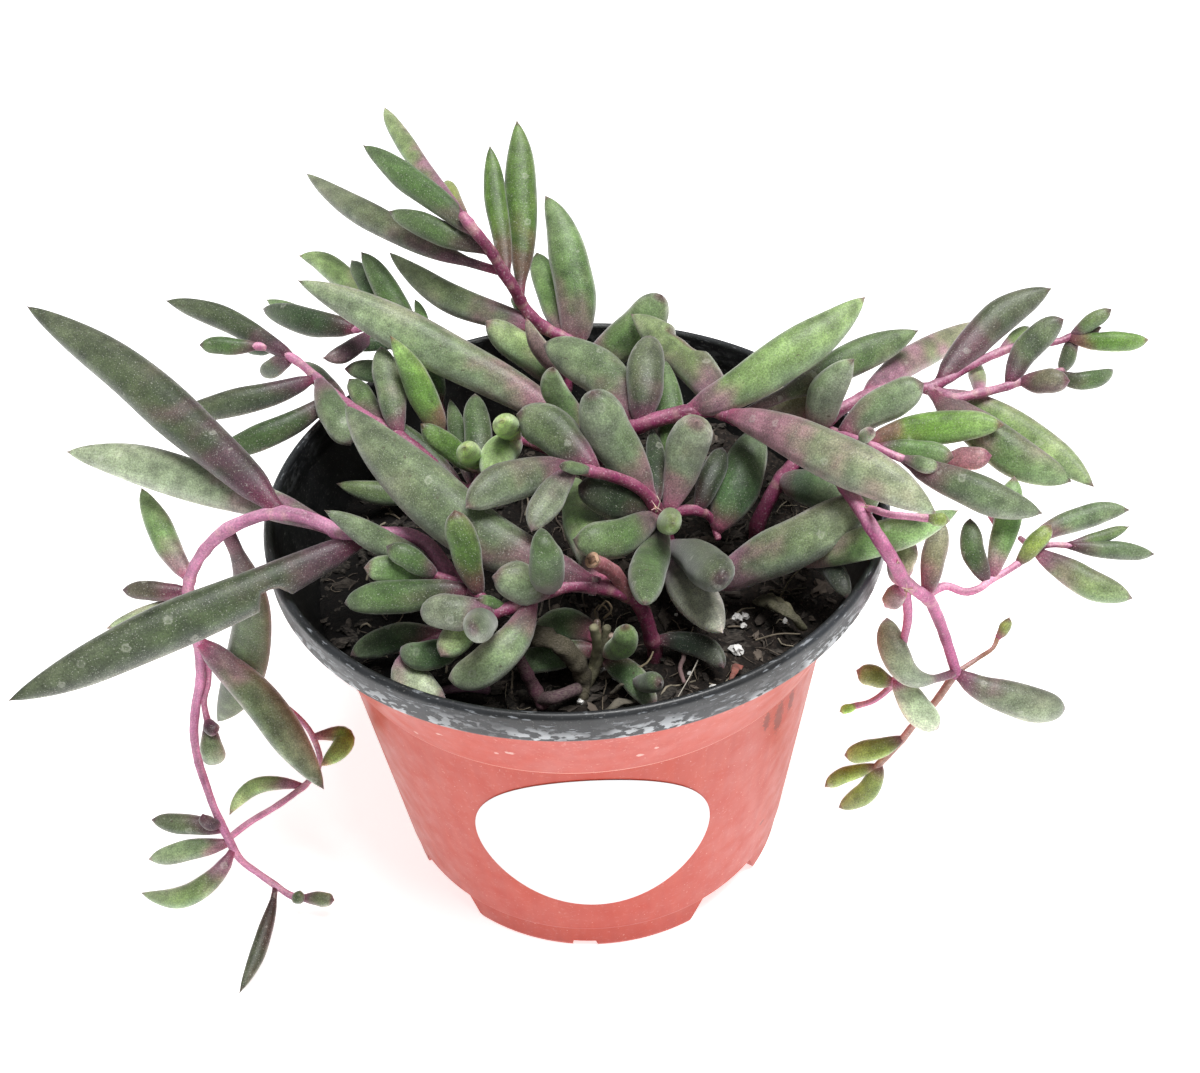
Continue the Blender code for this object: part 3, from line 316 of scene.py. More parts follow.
# Stems that leave over the back left of the rim
plants["stem_back_left"] = plant("""
stem 2.6 1.4 rooted=1
455,500,66 443,475,76 420,452,81 400,437,83 347,404,85 320,381,86 297,361,87.5 272,348,88.5
252,346,89
stem 2.3 1.3
443,475,76 440,420,81 430,370,85 415,342,87 385,326,88 350,330,87.5 325,331,87
stem 2.2 1.5
448,482,75 470,490,77 480,478,83 482,466,86
jade 372,322 300,256 5.0 88,92 via=342,276 light=1.25
bottle 394,324 352,261 4.7 88,92 light=1.55
moss 420,338 362,253 4.9 87,97 light=0.7
moss 430,345 415,300 2.4 87,90 light=1.3
bottle 360,345 264,309 5.4 86,88 via=312,322 light=0.7
moss 330,330 267,300 3.4 87,85 light=1.05
slate 296,361 167,301 4.6 87,94 via=230,322 light=0.6
moss 254,347 201,345 3.4 89,90 light=0.75
bottle 275,349 247,350 2.3 88,86
slate 316,379 172,414 5.0 86,84 via=245,401 light=0.6
moss 330,402 215,450 4.8 84,81 via=270,434 light=0.5
sage 318,381 350,444 5.6 86,82 belly=0.6 light=0.8
slate 290,358 262,374 3.6 87,83 light=0.9
bottle 345,402 303,362 3.6 84,83
wine 382,330 324,358 3.4 89,91 via=350,350 light=1.7
bottle 431,374 346,369 4.2 85,87 neck=0.3 light=1.7
bottle 415,342 347,346 2.7 87,88 neck=0.2 light=0.95
sage 400,437 381,348 5.2 82,93 light=0.85
moss 383,425 350,380 4.2 84,87 light=0.95
meadow 442,440 391,337 5.2 79,99 via=420,388 belly=0.45 blunt=0.0 light=1.25
moss 462,488 380,418 5.0 77,85 light=0.5
jade 452,496 338,484 4.4 70,73 via=396,494 light=0.5
meadow 481,474 422,425 3.9 85,95 light=0.75
lime 482,470 464,447 3.9 86,99 neck=0.2 belly=0.66 light=1.3
moss 480,480 475,395 4.8 83,89 light=0.5
moss 472,488 450,400 3.6 79,85 light=0.5
bottle 437,410 432,352 3.8 82,88 light=1.7
""")

# Stem that arches over the left of the rim and hangs to the table
plants["stem_left_arch"] = plant("""
stem 2.7 1.2 rooted=1 tone=#c47ea4
474,602,66 462,590,73 452,578,78 440,560,81 425,543,83 400,534,84.5 345,535,86.5 325,525,87.5
300,516,88 275,513,88 250,519,87 225,531,85 205,550,81 193,570,76 188,592,71 193,620,63 199,650,56
200,680,49 196,705,43.5 194,733,38 198,760,32 206,785,27.5 215,810,23 230,842,17 241,860,13
258,873,10 275,885,8 292,896,6.5 308,898,6.5
stem 1.3 1.1
198,647,56.5 207,662,52 208,682,47.5 204,702,44 209,727,40
stem 1.3 1.0
229,838,17.5 250,822,19.5 275,807,21.5 295,793,23 309,781,24.5 320,762,27.5 314,739,32 303,722,35.5
284,705,39
slate 280,513 28,307 8.0 88,108 via=156,397 belly=0.48 taper=1.0 flush=0.7 light=0.6
ash 345,535 68,452 7.2 85.5,89 via=195,480 arch=-1 neck=0.1 taper=1.0 light=1.15
moss 193,580 142,489 4.5 74,80 via=164,537 blunt=0.1 light=1.5
slate 375,538 10,700 7.5 86,79 via=190,619 belly=0.56 taper=1.0 bite=0.292,0.034,-1,0.75 light=0.55
plum 188,592 124,590 3.4 71,72 light=0.55
sage 189,600 108,628 3.0 69,68 light=1.65
slate 203,640 323,788 6.6 60,36 via=259,700 belly=0.62 light=1.25
moss 230,533 218,721 7.6 83,31 via=252,632 neck=0.12 belly=0.66 light=0.5
slate 210,733 214,761 4.2 39,34 belly=0.66 blunt=1.0 rings=1 light=1.4
wine 206,722 216,733 2.6 42,41 blunt=1.0 light=1.25
slate 223,829 153,820 3.8 18,21 light=0.9
sage 228,842 150,859 4.0 17,15 light=1.4
jade 229,848 142,893 4.2 15.5,8 via=195,892 light=0.95
wine 214,831 203,815 2.5 22,25 belly=0.4 light=0.85
meadow 313,736 322,765 3.9 33,31 via=345,738 belly=0.6 light=1.7
jade 302,786 230,814 3.2 24.5,21 via=258,786 light=1.7
bottle 276,886 240,992 3.0 8,3 via=264,935 neck=0.15 flush=1.3 light=0.7
slate 292,897 304,898 2.5 6.5,6.5 blunt=1.0 light=0.95
slate 307,898 333,900 2.8 6.5,7 blunt=1.0 light=1.5
sage 460,582 326,511 4.3 79,92 via=388,545 light=0.7
""")

# Stem in front, to the left, with a cluster of plump leaves at its end
plants["stem_front"] = plant("""
stem 2.8 1.6 rooted=1
655,655,66 652,640,70 645,616,75.5 632,598,80 600,587,83 570,586,84 545,593,84 520,604,84 500,611,84
487,617,83
stem 2.4 2.3 tone=#965c5e cut=1
627,596,80.5 621,583,83 612,571,86 592,560,90
stem 1.5 1.1
498,610,84 480,596,85 455,581,85 427,573,85.5
stem 1.9 1.7
492,616,82.5 470,628,77 450,635,74 425,645,73 404,654,72.5
sage 600,588 346,406 9.4 81,99 via=459,519 belly=0.6 light=0.7
moss 438,574 388,547 3.6 85.5,90 light=0.55
moss 430,573 366,568 4.3 85.5,87 light=1.15
moss 470,590 346,603 5.2 84,82 via=400,596 light=0.55
bottle 442,621 352,655 4.6 73.5,70 light=1.7
ash 492,612 422,612 5.4 84,84 light=0.65
jade 496,614 442,655 4.9 83.5,80 via=465,630 light=1.7
sage 492,618 473,629 4.7 84,94 belly=0.66 light=0.5
sage 532,600 450,678 5.8 83.5,77 via=500,655 belly=0.58 light=1.3
bottle 468,630 402,648 4.6 78,75 via=435,655 light=1.45
ash 394,655 444,699 5.6 73,71.5 via=412,681 belly=0.5 light=1.7
moss 505,606 478,599 1.8 84.5,87 light=0.8
sage 551,590 494,577 6.2 85,89 belly=0.52 blunt=0.5 light=0.8
meadow 482,597 455,512 4.6 85,96 via=465,550 light=0.5
moss 603,584 572,478 7.0 80,80 light=1.7
moss 550,590 541,528 5.2 84,97 belly=0.3 blunt=0.0 light=0.5
shade 655,640 723,667 3.8 69.5,70 via=697,645 light=1.1
""")

# Stem in the middle of the pot, bent over to the left, with leaves all along it
plants["stem_middle"] = plant("""
stem 3.0 1.6 rooted=1
672,575,66 669,550,72.5 664,527,78.5 656,509,84 648,496,87 630,483,90 600,473,93 565,467,95
stem 2.2 1.1
660,518,81 680,511,81 700,511,80 712,520,77 718,538,74.5
stem 1.3 1.1
580,469,93.5 555,455,91 532,445,88.5 516,438,86
stem 1.8 1.3
671,566,70 690,580,70.5 730,585,71 790,562,73 815,560,71
slate 597,470 518,415 7.2 92,98 via=553,432 blunt=0.4 light=0.8
lime 515,438 502,420 4.1 87,103 belly=0.66 light=1.4
moss 514,436 487,447 2.2 88,91
jade 520,440 490,477 5.6 88,94 via=502,452 belly=0.6 light=1.7
sage 568,467 467,507 6.4 95,95 via=513,480 blunt=0.2 flush=0.9 light=0.7
ash 572,468 532,530 4.8 95.5,93 via=549,498 blunt=0.2 flush=0.8 light=0.65
jade 592,470 560,466 2.0 94.5,98 light=0.6
sage 654,500 592,393 7.6 86.5,103 via=614,440 belly=0.6 light=0.75
sage 668,512 697,422 6.9 83,97 via=685,457 belly=0.66 light=1.05
moss 658,515 575,540 6.1 83,88 via=618,537 belly=0.6 light=0.8
lime 662,520 673,523 4.2 81,94 belly=0.66 light=0.7
moss 663,526 645,604 5.8 80,87 via=650,565 blunt=0.2 light=0.65
slate 672,546 722,578 6.6 74,89 via=698,560 belly=0.72 blunt=1.0 rings=1 light=0.5
crusted 669,560 722,632 6.8 72,76 via=692,592 belly=0.55 blunt=0.1 light=1.7
bottle 655,513 580,486 6.4 82,90 light=0.5
moss 672,515 664,359 5.0 78,93 via=672,430 light=0.75
bottle 659,505 652,430 3.4 84,88 light=0.5
bottle 720,542 757,430 7.2 74,86 via=737,488 light=1.4
bottle 698,511 722,449 4.2 79.5,85 light=0.5
slate 712,590 880,495 8.0 72,87 via=790,545 belly=0.5 light=1.5
moss 790,560 957,511 5.4 74,87 via=875,541 arch=2 light=1.7
shade 815,560 847,598 3.6 71,70 via=833,571 light=0.9
""")

# Stem that runs out over the right of the rim and hangs in several branches
plants["stem_right"] = plant("""
stem 2.9 1.9 rooted=1
598,484,66 595,460,75 603,441,83 638,426,89 670,416,91 700,411,92 725,413,92 780,440,90.5
830,468,89.5 845,487,89 858,505,90 870,525,90.5 885,548,88 897,568,82 905,582,77 928,599,70
935,611,65.5 942,628,60 950,652,54 957,675,49
stem 1.5 0.9
926,596,70 945,586,70 965,592,70 980,588,70.5 990,580,71 1005,572,71.5 1020,562,72 1035,550,73
1050,545,74 1076,546,74
stem 1.7 1.0
904,581,77 908,615,67 904,640,60 900,665,54 896,679,51 885,692,47.5 870,702,44.5 850,707,42.5
stem 1.5 1.2 tone=#a98470
956,672,49.5 935,702,42.5 915,723,37 900,742,32 886,757,28 872,771,24.5
stem 0.9 0.7 tone=#9c7a52
957,672,49.5 980,657,51 993,648,53 998,637,54.5 1004,628,55.5
stem 1.0 1.1
860,508,88 872,509,93 888,514,96 905,516,97 936,519,96
stem 1.0 0.9
1036,551,73 1020,538,74.5
sage 600,446 299,281 8.0 82,105 via=452,356 neck=0.06 belly=0.58 light=1.1
sage 636,427 545,345 8.0 88,93 via=603,377 light=0.85
moss 603,442 553,368 4.5 84,99 via=561,402 light=1.35
slate 640,425 650,337 6.4 89,97 light=0.8
jade 735,415 632,315 6.8 90.5,93 via=688,361 bite=0.6,0.16,1,0.4 light=0.9
sage 728,413 935,513 7.6 93,92 via=833,455 arch=3 blunt=0.1 flush=1.2 light=1.25
jade 685,413 864,298 7.5 92,106 via=778,364 blunt=0.15 flush=0.4
moss 738,415 917,331 6.0 90,95 via=832,370 arch=-2 neck=0.3 light=0.9
plum 928,596 940,520 4.0 70,80 light=1.3
plum 903,583 915,546 4.3 75,81 via=900,566 light=1.7
plum 905,586 886,606 3.4 74,70 light=1.7
moss 987,582 970,520 3.8 71,78 via=974,553 light=0.55
moss 990,580 1014,478 4.4 71,83 via=1006,524 light=1.45
straw 1018,564 1050,526 3.1 72,77 light=0.9
sage 1022,541 1128,510 4.0 74.5,77 via=1080,518 blunt=0.1 light=0.85
jade 1074,546 1128,527 2.1 74,76 light=0.65
sage 1074,547 1153,554 3.1 74,73 light=0.65
jade 1036,551 1131,598 4.9 73,70 via=1083,580 blunt=0.3 flush=0.9 light=0.9
lime 855,706 841,711 1.7 43,42 light=1.7
olive 893,683 858,671 3.8 50,51 belly=0.6 light=1.7
ash 897,677 937,728 5.2 51,42 via=912,702 belly=0.64 flush=0.3 light=1.4
ash 956,674 887,619 4.9 49.5,61 via=908,673 neck=0.25 belly=0.7 blunt=0.7 flush=0.6 light=0.75
ash 956,674 1064,708 6.3 49.5,44 via=1004,697 belly=0.72 blunt=0.8 flush=0.8 light=0.7
straw 903,739 846,755 4.0 32.5,29 via=872,750 flush=0.3 light=1.1
straw 875,768 826,786 3.0 25.5,21 via=848,774 flush=0.3 light=1.4
straw 880,763 840,807 4.0 26,15 via=868,789 flush=0.3 light=1.05
olive 1001,637 1009,618 2.0 54,58 belly=0.5 blunt=0.1 light=1.7
straw 929,518 949,521 2.0 96.3,96 blunt=0.0 light=0.9
""")

# Stem that leaves over the right back of the rim and forks
plants["stem_right_back"] = plant("""
stem 3.0 1.1 rooted=1 tone=#8d3c62
757,535,66 768,502,73 780,481,77 795,462,80 815,436,83 832,416,85.5 850,404,87 868,395,88
885,389,88.5 905,386,89 925,388,89 942,382,89.5 970,366,90.5 1000,352,91.5 1020,346,92.5 1055,342,93
1072,336,93.5 1090,330,94
stem 1.8 1.2 tone=#8d3c62
928,388,89 940,393,89 955,398,89.5 980,393,90 1005,387,90 1025,380,90.5 1062,371,91
stem 1.7 0.9
822,428,84 848,437,85 875,447,85 905,459,84 940,462,82 960,472,80.5 977,492,78 990,515,75.5
1000,532,74
sage 938,384 1050,289 6.1 89.5,100 via=990,326 blunt=0.1 flush=1.1 light=0.5
jade 1000,352 1028,327 2.5 91,92 light=1.2
jade 863,397 985,322 5.3 87.5,87 via=915,358 flush=1.6 light=1.2
slate 1010,386 1062,320 4.8 90,99 via=1030,346 light=0.8
meadow 1068,338 1147,340 3.5 93.5,94 via=1110,342 light=0.85
jade 1070,336 1110,310 2.8 94,98 light=0.65
plum 1082,332 1100,328 1.9 94,95
slate 1076,335 1062,372 2.8 93,88 light=0.7
plum 1020,382 1068,381 4.2 90.5,93 light=1.05
moss 1056,373 1112,370 3.2 91,91 via=1085,381 light=0.55
jade 980,392 975,362 3.0 89.5,86 light=1.35
plum 950,396 978,414 3.2 89,86
meadow 866,443 1002,425 5.6 85,88 via=932,428 light=1.1
jade 925,388 1093,486 6.0 88.5,84 via=1010,425 neck=0.12 flush=0.7 light=1.1
moss 932,392 1070,481 7.0 87.5,80 via=1000,446 blunt=0.2 flush=1.1 light=1.15
sage 840,434 922,384 6.2 85,93 via=882,406
ash 860,442 872,430 2.4 86,90 light=1.7
moss 876,447 952,457 4.5 84.5,85 light=1.05
sage 905,460 938,468 2.6 83.5,85
sage 903,458 1041,513 5.9 83,80 via=975,492 blunt=0.0 light=0.65
jade 938,463 970,492 2.8 81.5,82
rose 940,462 990,456 4.0 82,85
sage 816,432 853,360 6.2 84,99 via=828,392 belly=0.42 blunt=0.1 light=1.2
plum 834,420 757,395 6.0 84,87 light=1.7
bottle 781,479 850,500 6.6 77,84 light=1.5
""")

# Young shoots in the soil in front
plants["stem_young_shoots"] = plant("""
stem 1.8 1.2 rooted=1 tone=#6d6a4e
600,668,66 600,655,70.5 598,640,73 597,622,76
stem 1.3 1.1 tone=#7a7458
600,655,70.5 606,646,73 612,636,76
bottle 598,638 535,638 5.4 73,71 via=568,625 light=1.7
bottle 599,652 518,668 4.6 71,69.5 via=555,655 light=1.7
meadow 608,660 625,626 4.0 71,83 via=622,645 blunt=0.8 light=1.1
bottle 601,655 654,706 4.2 70.5,69.5 via=628,674 light=1.7
moss 634,682 660,683 3.2 70,76 belly=0.66 light=0.55
""")


# How each leaf finds its seat on its stem: spacing and ends in millimetres, reach in pixels
seatSpacing = 0.7
seatAboveRoot = 9.8
seatBeforeEnd = 1.4
seatReach = 24.0
seatHeightWeight = 1.5

# How the leaves find room: beads along each leaf are pushed apart along their sight lines
beadShares = np.linspace(0.1, 0.97, 9)
settleRounds = 220
settleGap = 0.7
sameStemOverlap = 0.5
gatherShare = 0.3
settleReach = 20.0
tipLimit = 16.0
middleLimit = 7.0
tipStep = 0.35
middleStep = 0.25
flatLean = 0.15
soilReach = 46.0
soilGap = 1.0
tableGap = 0.8


def leafHalfWidth(row, shares):
    # A spindle: a thin stalk, a round body that is widest at the belly, and a pointed tip
    body = np.clip((shares - row["neck"]) / (1 - row["neck"]), 0, 1)
    power = math.log(0.5) / math.log(row["belly"])
    spindle = np.sin(math.pi * body ** power).clip(0, 1) ** row["taper"]
    stalk = stalkShare * (1 - shares) ** 2
    return row["width"] / 2 * np.maximum(spindle, stalk)


def leafSpots(row, shares):
    # The midrib in the picture: a curve from foot to tip that passes the middle spot
    foot, middle, tip = (np.array(row[key], float) for key in ("foot", "middle", "tip"))
    bend = 2 * middle - (foot + tip) / 2
    s = shares[:, None]
    return (1 - s) ** 2 * foot + 2 * s * (1 - s) * bend + s ** 2 * tip


def leafHeights(row, shares):
    rise = (row["tipHeight"] + row.get("tipLift", 0.0) - row["footHeight"]) * shares
    arch = (row["arch"] + row.get("middleLift", 0.0)) * 4 * shares * (1 - shares)
    return row["footHeight"] + rise + arch


def leafMidrib(row, shares):
    return sightPoint(leafSpots(row, shares), leafHeights(row, shares))


def smoothPath(points, spacing):
    # A smooth curve through the points, read off at even steps of about the spacing
    points = np.asarray(points, float)
    padded = np.vstack([2 * points[0] - points[1], points, 2 * points[-1] - points[-2]])
    dense = []
    for a, b, c, d in zip(padded[:-3], padded[1:-2], padded[2:-1], padded[3:]):
        for t in np.linspace(0, 1, 8, endpoint=False):
            dense.append(0.5 * (2 * b + (c - a) * t + (2 * a - 5 * b + 4 * c - d) * t ** 2
                                + (3 * b - a - 3 * c + d) * t ** 3))
    dense = np.array(dense + [points[-1]])
    walked = np.concatenate([[0], np.cumsum(np.linalg.norm(np.diff(dense, axis=0), axis=1))])
    steps = max(2, round(walked[-1] / spacing))
    even = np.linspace(0, walked[-1], steps + 1)
    return np.stack([np.interp(even, walked, dense[:, axis]) for axis in range(3)], axis=-1)


def stemPath(row, spacing):
    points = np.array(row["points"], float)
    path = sightPoint(points[:, :2], points[:, 2])
    if not row["rooted"]:
        return smoothPath(path, spacing)
    root = path[0]
    upright = [root - [0, 0, rootDepth], root - [0, 0, rootDepth / 2], root, root + [0, 0, rootRise]]
    return smoothPath(np.vstack([upright, path[1:]]), spacing)


def stemRadii(row, count):
    return np.linspace(row["footDiameter"] / 2, row["tipDiameter"] / 2, count)


def pictureSpots(places):
    # Where points in millimetres stand in the photograph
    offset = places - viewPlace
    depth = offset @ viewForward
    return np.stack([viewMiddle[0] + viewFocal * (offset @ viewRight) / depth,
                     viewMiddle[1] - viewFocal * (offset @ viewUp) / depth], axis=-1)


def seatLeaves(families):
    # Sets each leaf's foot in the middle of its own stem, where that runs closest to it
    for stems, leaves in families.values():
        parts = []
        for row in stems:
            first = round(seatAboveRoot / seatSpacing) if row["rooted"] else 0
            parts.append(stemPath(row, seatSpacing)[first:-round(seatBeforeEnd / seatSpacing)])
        places = np.vstack(parts)
        spots = pictureSpots(places)
        for row in leaves:
            away = np.linalg.norm(spots - row["foot"], axis=1)
            away += seatHeightWeight * abs(places[:, 2] - row["footHeight"])
            nearest = away.argmin()
            if away[nearest] < seatReach:
                row["foot"] = tuple(spots[nearest])
                row["footHeight"] = float(places[nearest, 2])


def settle(families):
    # Adds tipLift and middleLift to the leaves, so that none runs through another, the pot or the soil.
    # Each round pushes beads that are too close apart, as far as their sight lines allow.
    leaves = [(name, row) for name, (stems, rows) in families.items() for row in rows]
    beads = len(beadShares)
    spots = np.vstack([leafSpots(row, beadShares) for name, row in leaves])
    lines = sightLine(spots)
    owner = np.repeat(np.arange(len(leaves)), beads)
    share = np.tile(beadShares, len(leaves))
    radius = np.concatenate([leafHalfWidth(row, beadShares) for name, row in leaves])
    family = np.repeat([name for name, row in leaves], beads)
    heights = np.concatenate([leafHeights(row, beadShares) for name, row in leaves])
    fixed, fixedRadius, fixedFamily = [], [], []
    for name, (stems, rows) in families.items():
        for row in stems:
            path = stemPath(row, 2.5)
            fixed.append(path)
            fixedRadius.append(stemRadii(row, len(path)))
            fixedFamily += [name] * len(path)
    allRadius = np.concatenate([radius, *fixedRadius])
    allFamily = np.concatenate([family, fixedFamily])
    allOwner = np.concatenate([owner, np.full(len(fixedFamily), -1)])
    allShare = np.concatenate([share, np.zeros(len(fixedFamily))])
    allLines = np.vstack([lines, np.zeros((len(fixedFamily), 3))])
    tipLift, middleLift = np.zeros(len(leaves)), np.zeros(len(leaves))
    first, second = np.triu_indices(len(allRadius), 1)
    keep = (first < len(owner)) & (allOwner[first] != allOwner[second])
    first, second = first[keep], second[keep]
    same = allFamily[first] == allFamily[second]
    gathered = same & ((allShare[first] < gatherShare) & (allShare[second] < gatherShare))
    first, second, same = first[~gathered], second[~gathered], same[~gathered]
    need = allRadius[first] + allRadius[second] + np.where(same, -sameStemOverlap, settleGap)
    start = np.vstack([viewPlace + lines * (heights - viewPlace[2])[:, None], *fixed])
    close = np.linalg.norm(start[first] - start[second], axis=1) < need + settleReach
    first, second, same, need = first[close], second[close], same[close], need[close]
    wall = np.array(potWallMiddle())
    for turn in range(settleRounds):
        raised = heights + tipLift[owner] * share + middleLift[owner] * 4 * share * (1 - share)
        places = np.vstack([viewPlace + lines * (raised - viewPlace[2])[:, None], *fixed])
        gap = places[first] - places[second]
        distance = np.linalg.norm(gap, axis=1).clip(1e-6)
        push = need - distance
        near = push > 0
        a, b = first[near], second[near]
        away = gap[near] / distance[near][:, None]
        leanA = np.einsum("ij,ij->i", away, allLines[a])
        leanB = -np.einsum("ij,ij->i", away, allLines[b])
        weight = leanA ** 2 + leanB ** 2 + flatLean
        rise = np.zeros(len(allRadius))
        count = np.zeros(len(allRadius))
        np.add.at(rise, a, push[near] * leanA / weight)
        np.add.at(rise, b, push[near] * leanB / weight)
        np.add.at(count, a, 1)
        np.add.at(count, b, 1)
        rise = (rise / count.clip(1))[:len(owner)]
        beadPlaces = places[:len(owner)]
        across = np.hypot(beadPlaces[:, 0], beadPlaces[:, 1])
        inSoil = (across < soilReach) & (beadPlaces[:, 2] > soilTop / 2)
        sunk = soilTop + soilGap + radius * leafThickness - beadPlaces[:, 2]
        rise += np.where(inSoil & (sunk > 0), sunk, 0)
        rise += (tableGap + radius * leafThickness - beadPlaces[:, 2]).clip(0)
        for (r0, z0, t0), (r1, z1, t1) in zip(wall[:-1], wall[1:]):
            along = np.array([r1 - r0, z1 - z0])
            offset = np.stack([across - r0, beadPlaces[:, 2] - z0], axis=-1)
            t = (offset @ along / (along @ along)).clip(0, 1)
            offset -= t[:, None] * along
            apart = np.linalg.norm(offset, axis=1).clip(1e-6)
            over = radius + t0 + (t1 - t0) * t + settleGap - apart
            outward = beadPlaces[:, :2] / across[:, None]
            lean = (offset[:, :1] * outward * lines[:, :2]).sum(1) / apart + offset[:, 1] / apart
            rise += np.where(over > 0, over * lean / (lean ** 2 + flatLean), 0)
        pushed = np.bincount(owner, (rise != 0) + 0.3)
        tipLift += tipStep * np.bincount(owner, rise * share) / pushed
        middleLift += middleStep * np.bincount(owner, rise * 4 * share * (1 - share)) / pushed
        tipLift = tipLift.clip(-tipLimit, tipLimit)
        middleLift = middleLift.clip(-middleLimit, middleLimit)
    for (name, row), tip, middle in zip(leaves, tipLift, middleLift):
        row["tipLift"] = round(float(tip), 2)
        row["middleLift"] = round(float(middle), 2)


def potShape():
    # The turned pot's half section as (radius, height): floor, inside, rim, skirt, outside, foot
    wallSlope = (collarRadius - ledgeRadius) / (potHeight - collarDrop - ledgeHeight)
    collarHeight = potHeight - collarDrop
    lipInside = rimRadius - lipWidth
    floorTop = ledgeHeight + wallThickness
    inside = ledgeRadius - wallThickness + wallSlope * wallThickness
    skirtBottom = potHeight - skirtDrop
    upperCollar = lipInside - lipFlare
    return [
        (0, floorTop),
        (inside, floorTop),
        (collarRadius - wallThickness, collarHeight + 0.2),
        (collarRadius + collarStep - wallThickness, collarHeight + 1.2),
        (upperCollar, skirtBottom),
        (lipInside, potHeight - lipRound),
        (lipInside + lipRound, potHeight),
        (rimRadius - rimRound, potHeight),
        (rimRadius, potHeight - rimRound),
        (rimRadius, skirtBottom + lipRound),
        (rimRadius - lipRound, skirtBottom),
        (upperCollar + wallThickness, skirtBottom),
        (collarRadius + collarStep, collarHeight + 0.8),
        (collarRadius, collarHeight),
        (ledgeRadius, ledgeHeight + 0.4),
        (ledgeRadius - 0.5, ledgeHeight - 0.2),
        (footRadius + 0.3, 1),
        (footRadius, 0),
        (footRadius - footWidth, 0),
        (footRadius - footWidth, ledgeHeight - wallThickness),
        (0, ledgeHeight - wallThickness),
    ]


def potWallMiddle():
    # The middle of the pot's wall in millimetres, with its half thickness, for the settling
    return [
        (rimRadius - lipWidth / 2, potHeight - 1.9, 1.9),
        (rimRadius - lipWidth / 2, potHeight - skirtDrop + 1.9, 1.9),
        (collarRadius + 0.5, potHeight - collarDrop + 1, 0.8),
        (ledgeRadius - 0.4, ledgeHeight, 0.6),
        (footRadius - 0.8, 0.8, 0.8),
    ]


# Leaves: lengths in mm, other numbers as shares of the leaf's own width or length, or of full colour

leafBuild = {
    "sides": 20, "slimSides": 14, "slimWidth": 3, "ringLength": 1.0, "fewestRings": 16,
    "depth": 0.84, "flatTop": 0.10, "squareness": 0.06, "waver": 0.03, "sideWaver": 0.25,
    "tipPoint": 0.35, "tipPointWidth": 0.16, "footWidth": 0.42, "footSlope": 1.6, "neckShare": 0.8,
    "stalkWidth": 0.30, "thinnestStalk": 0.55, "opening": 0.12, "bluntAspect": (2.2, 6.0),
    "tipPower": 2.0, "bluntPower": 0.8, "tipRoundness": 0.78, "bluntRoundness": 0.26,
    "lumps": 0.30, "lumpShade": 0.44, "blotches": 0.9, "blotchShade": 0.3, "paintedSkyShade": 0.27,
    "flushes": (0.45, 1.0), "lights": (0.95, 1.1), "footReach": 0.40, "margin": 0.26, "sideFlush": 0.30,
    "belowFlush": 0.30, "joint": "#a8466f", "jointReach": 0.13, "jointShare": 0.8,
    "tipReach": 0.7, "tipFlush": "#7c3450", "paintedTipLight": 0.16, "tipPale": "#c9c6b4", "tipPaleShare": 0.16,
    "edge": "#d3d6c6", "paintedRimLightShare": 0.20, "ringPitch": 0.8, "ringShade": 0.22, "bitten": "#5a4330",
}


def leafForm(row, shares, length):  # half width along a leaf: a full foot, almost even sides, a blunt tip
    settings, belly = leafBuild, row["belly"]
    neck = row["neck"] * settings["neckShare"]
    body = ((shares - neck) / (1 - neck)).clip(0, 1)
    low, high = body / belly, ((body - belly) / (1 - belly)).clip(0, 1)
    foot = settings["footWidth"] * (1 - settings["footSlope"] * (belly - 0.5))
    lower = foot + (1 - foot) * np.sin(math.pi / 2 * low.clip(0, 1)) ** 0.9
    blunt = row.get("blunt", float(1 - smoothStep(*settings["bluntAspect"], length / row["width"])))
    power = settings["tipPower"] + settings["bluntPower"] * blunt
    upper = (1 - high ** power) ** (settings["tipRoundness"] - settings["bluntRoundness"] * blunt)
    form = np.where(body < belly, lower, upper)
    opening = smoothStep(0, settings["opening"] + neck, shares)
    stalk = max(settings["stalkWidth"], settings["thinnestStalk"] * 2 / row["width"])
    return row["width"] / 2 * (stalk + (form - stalk) * opening).clip(0)


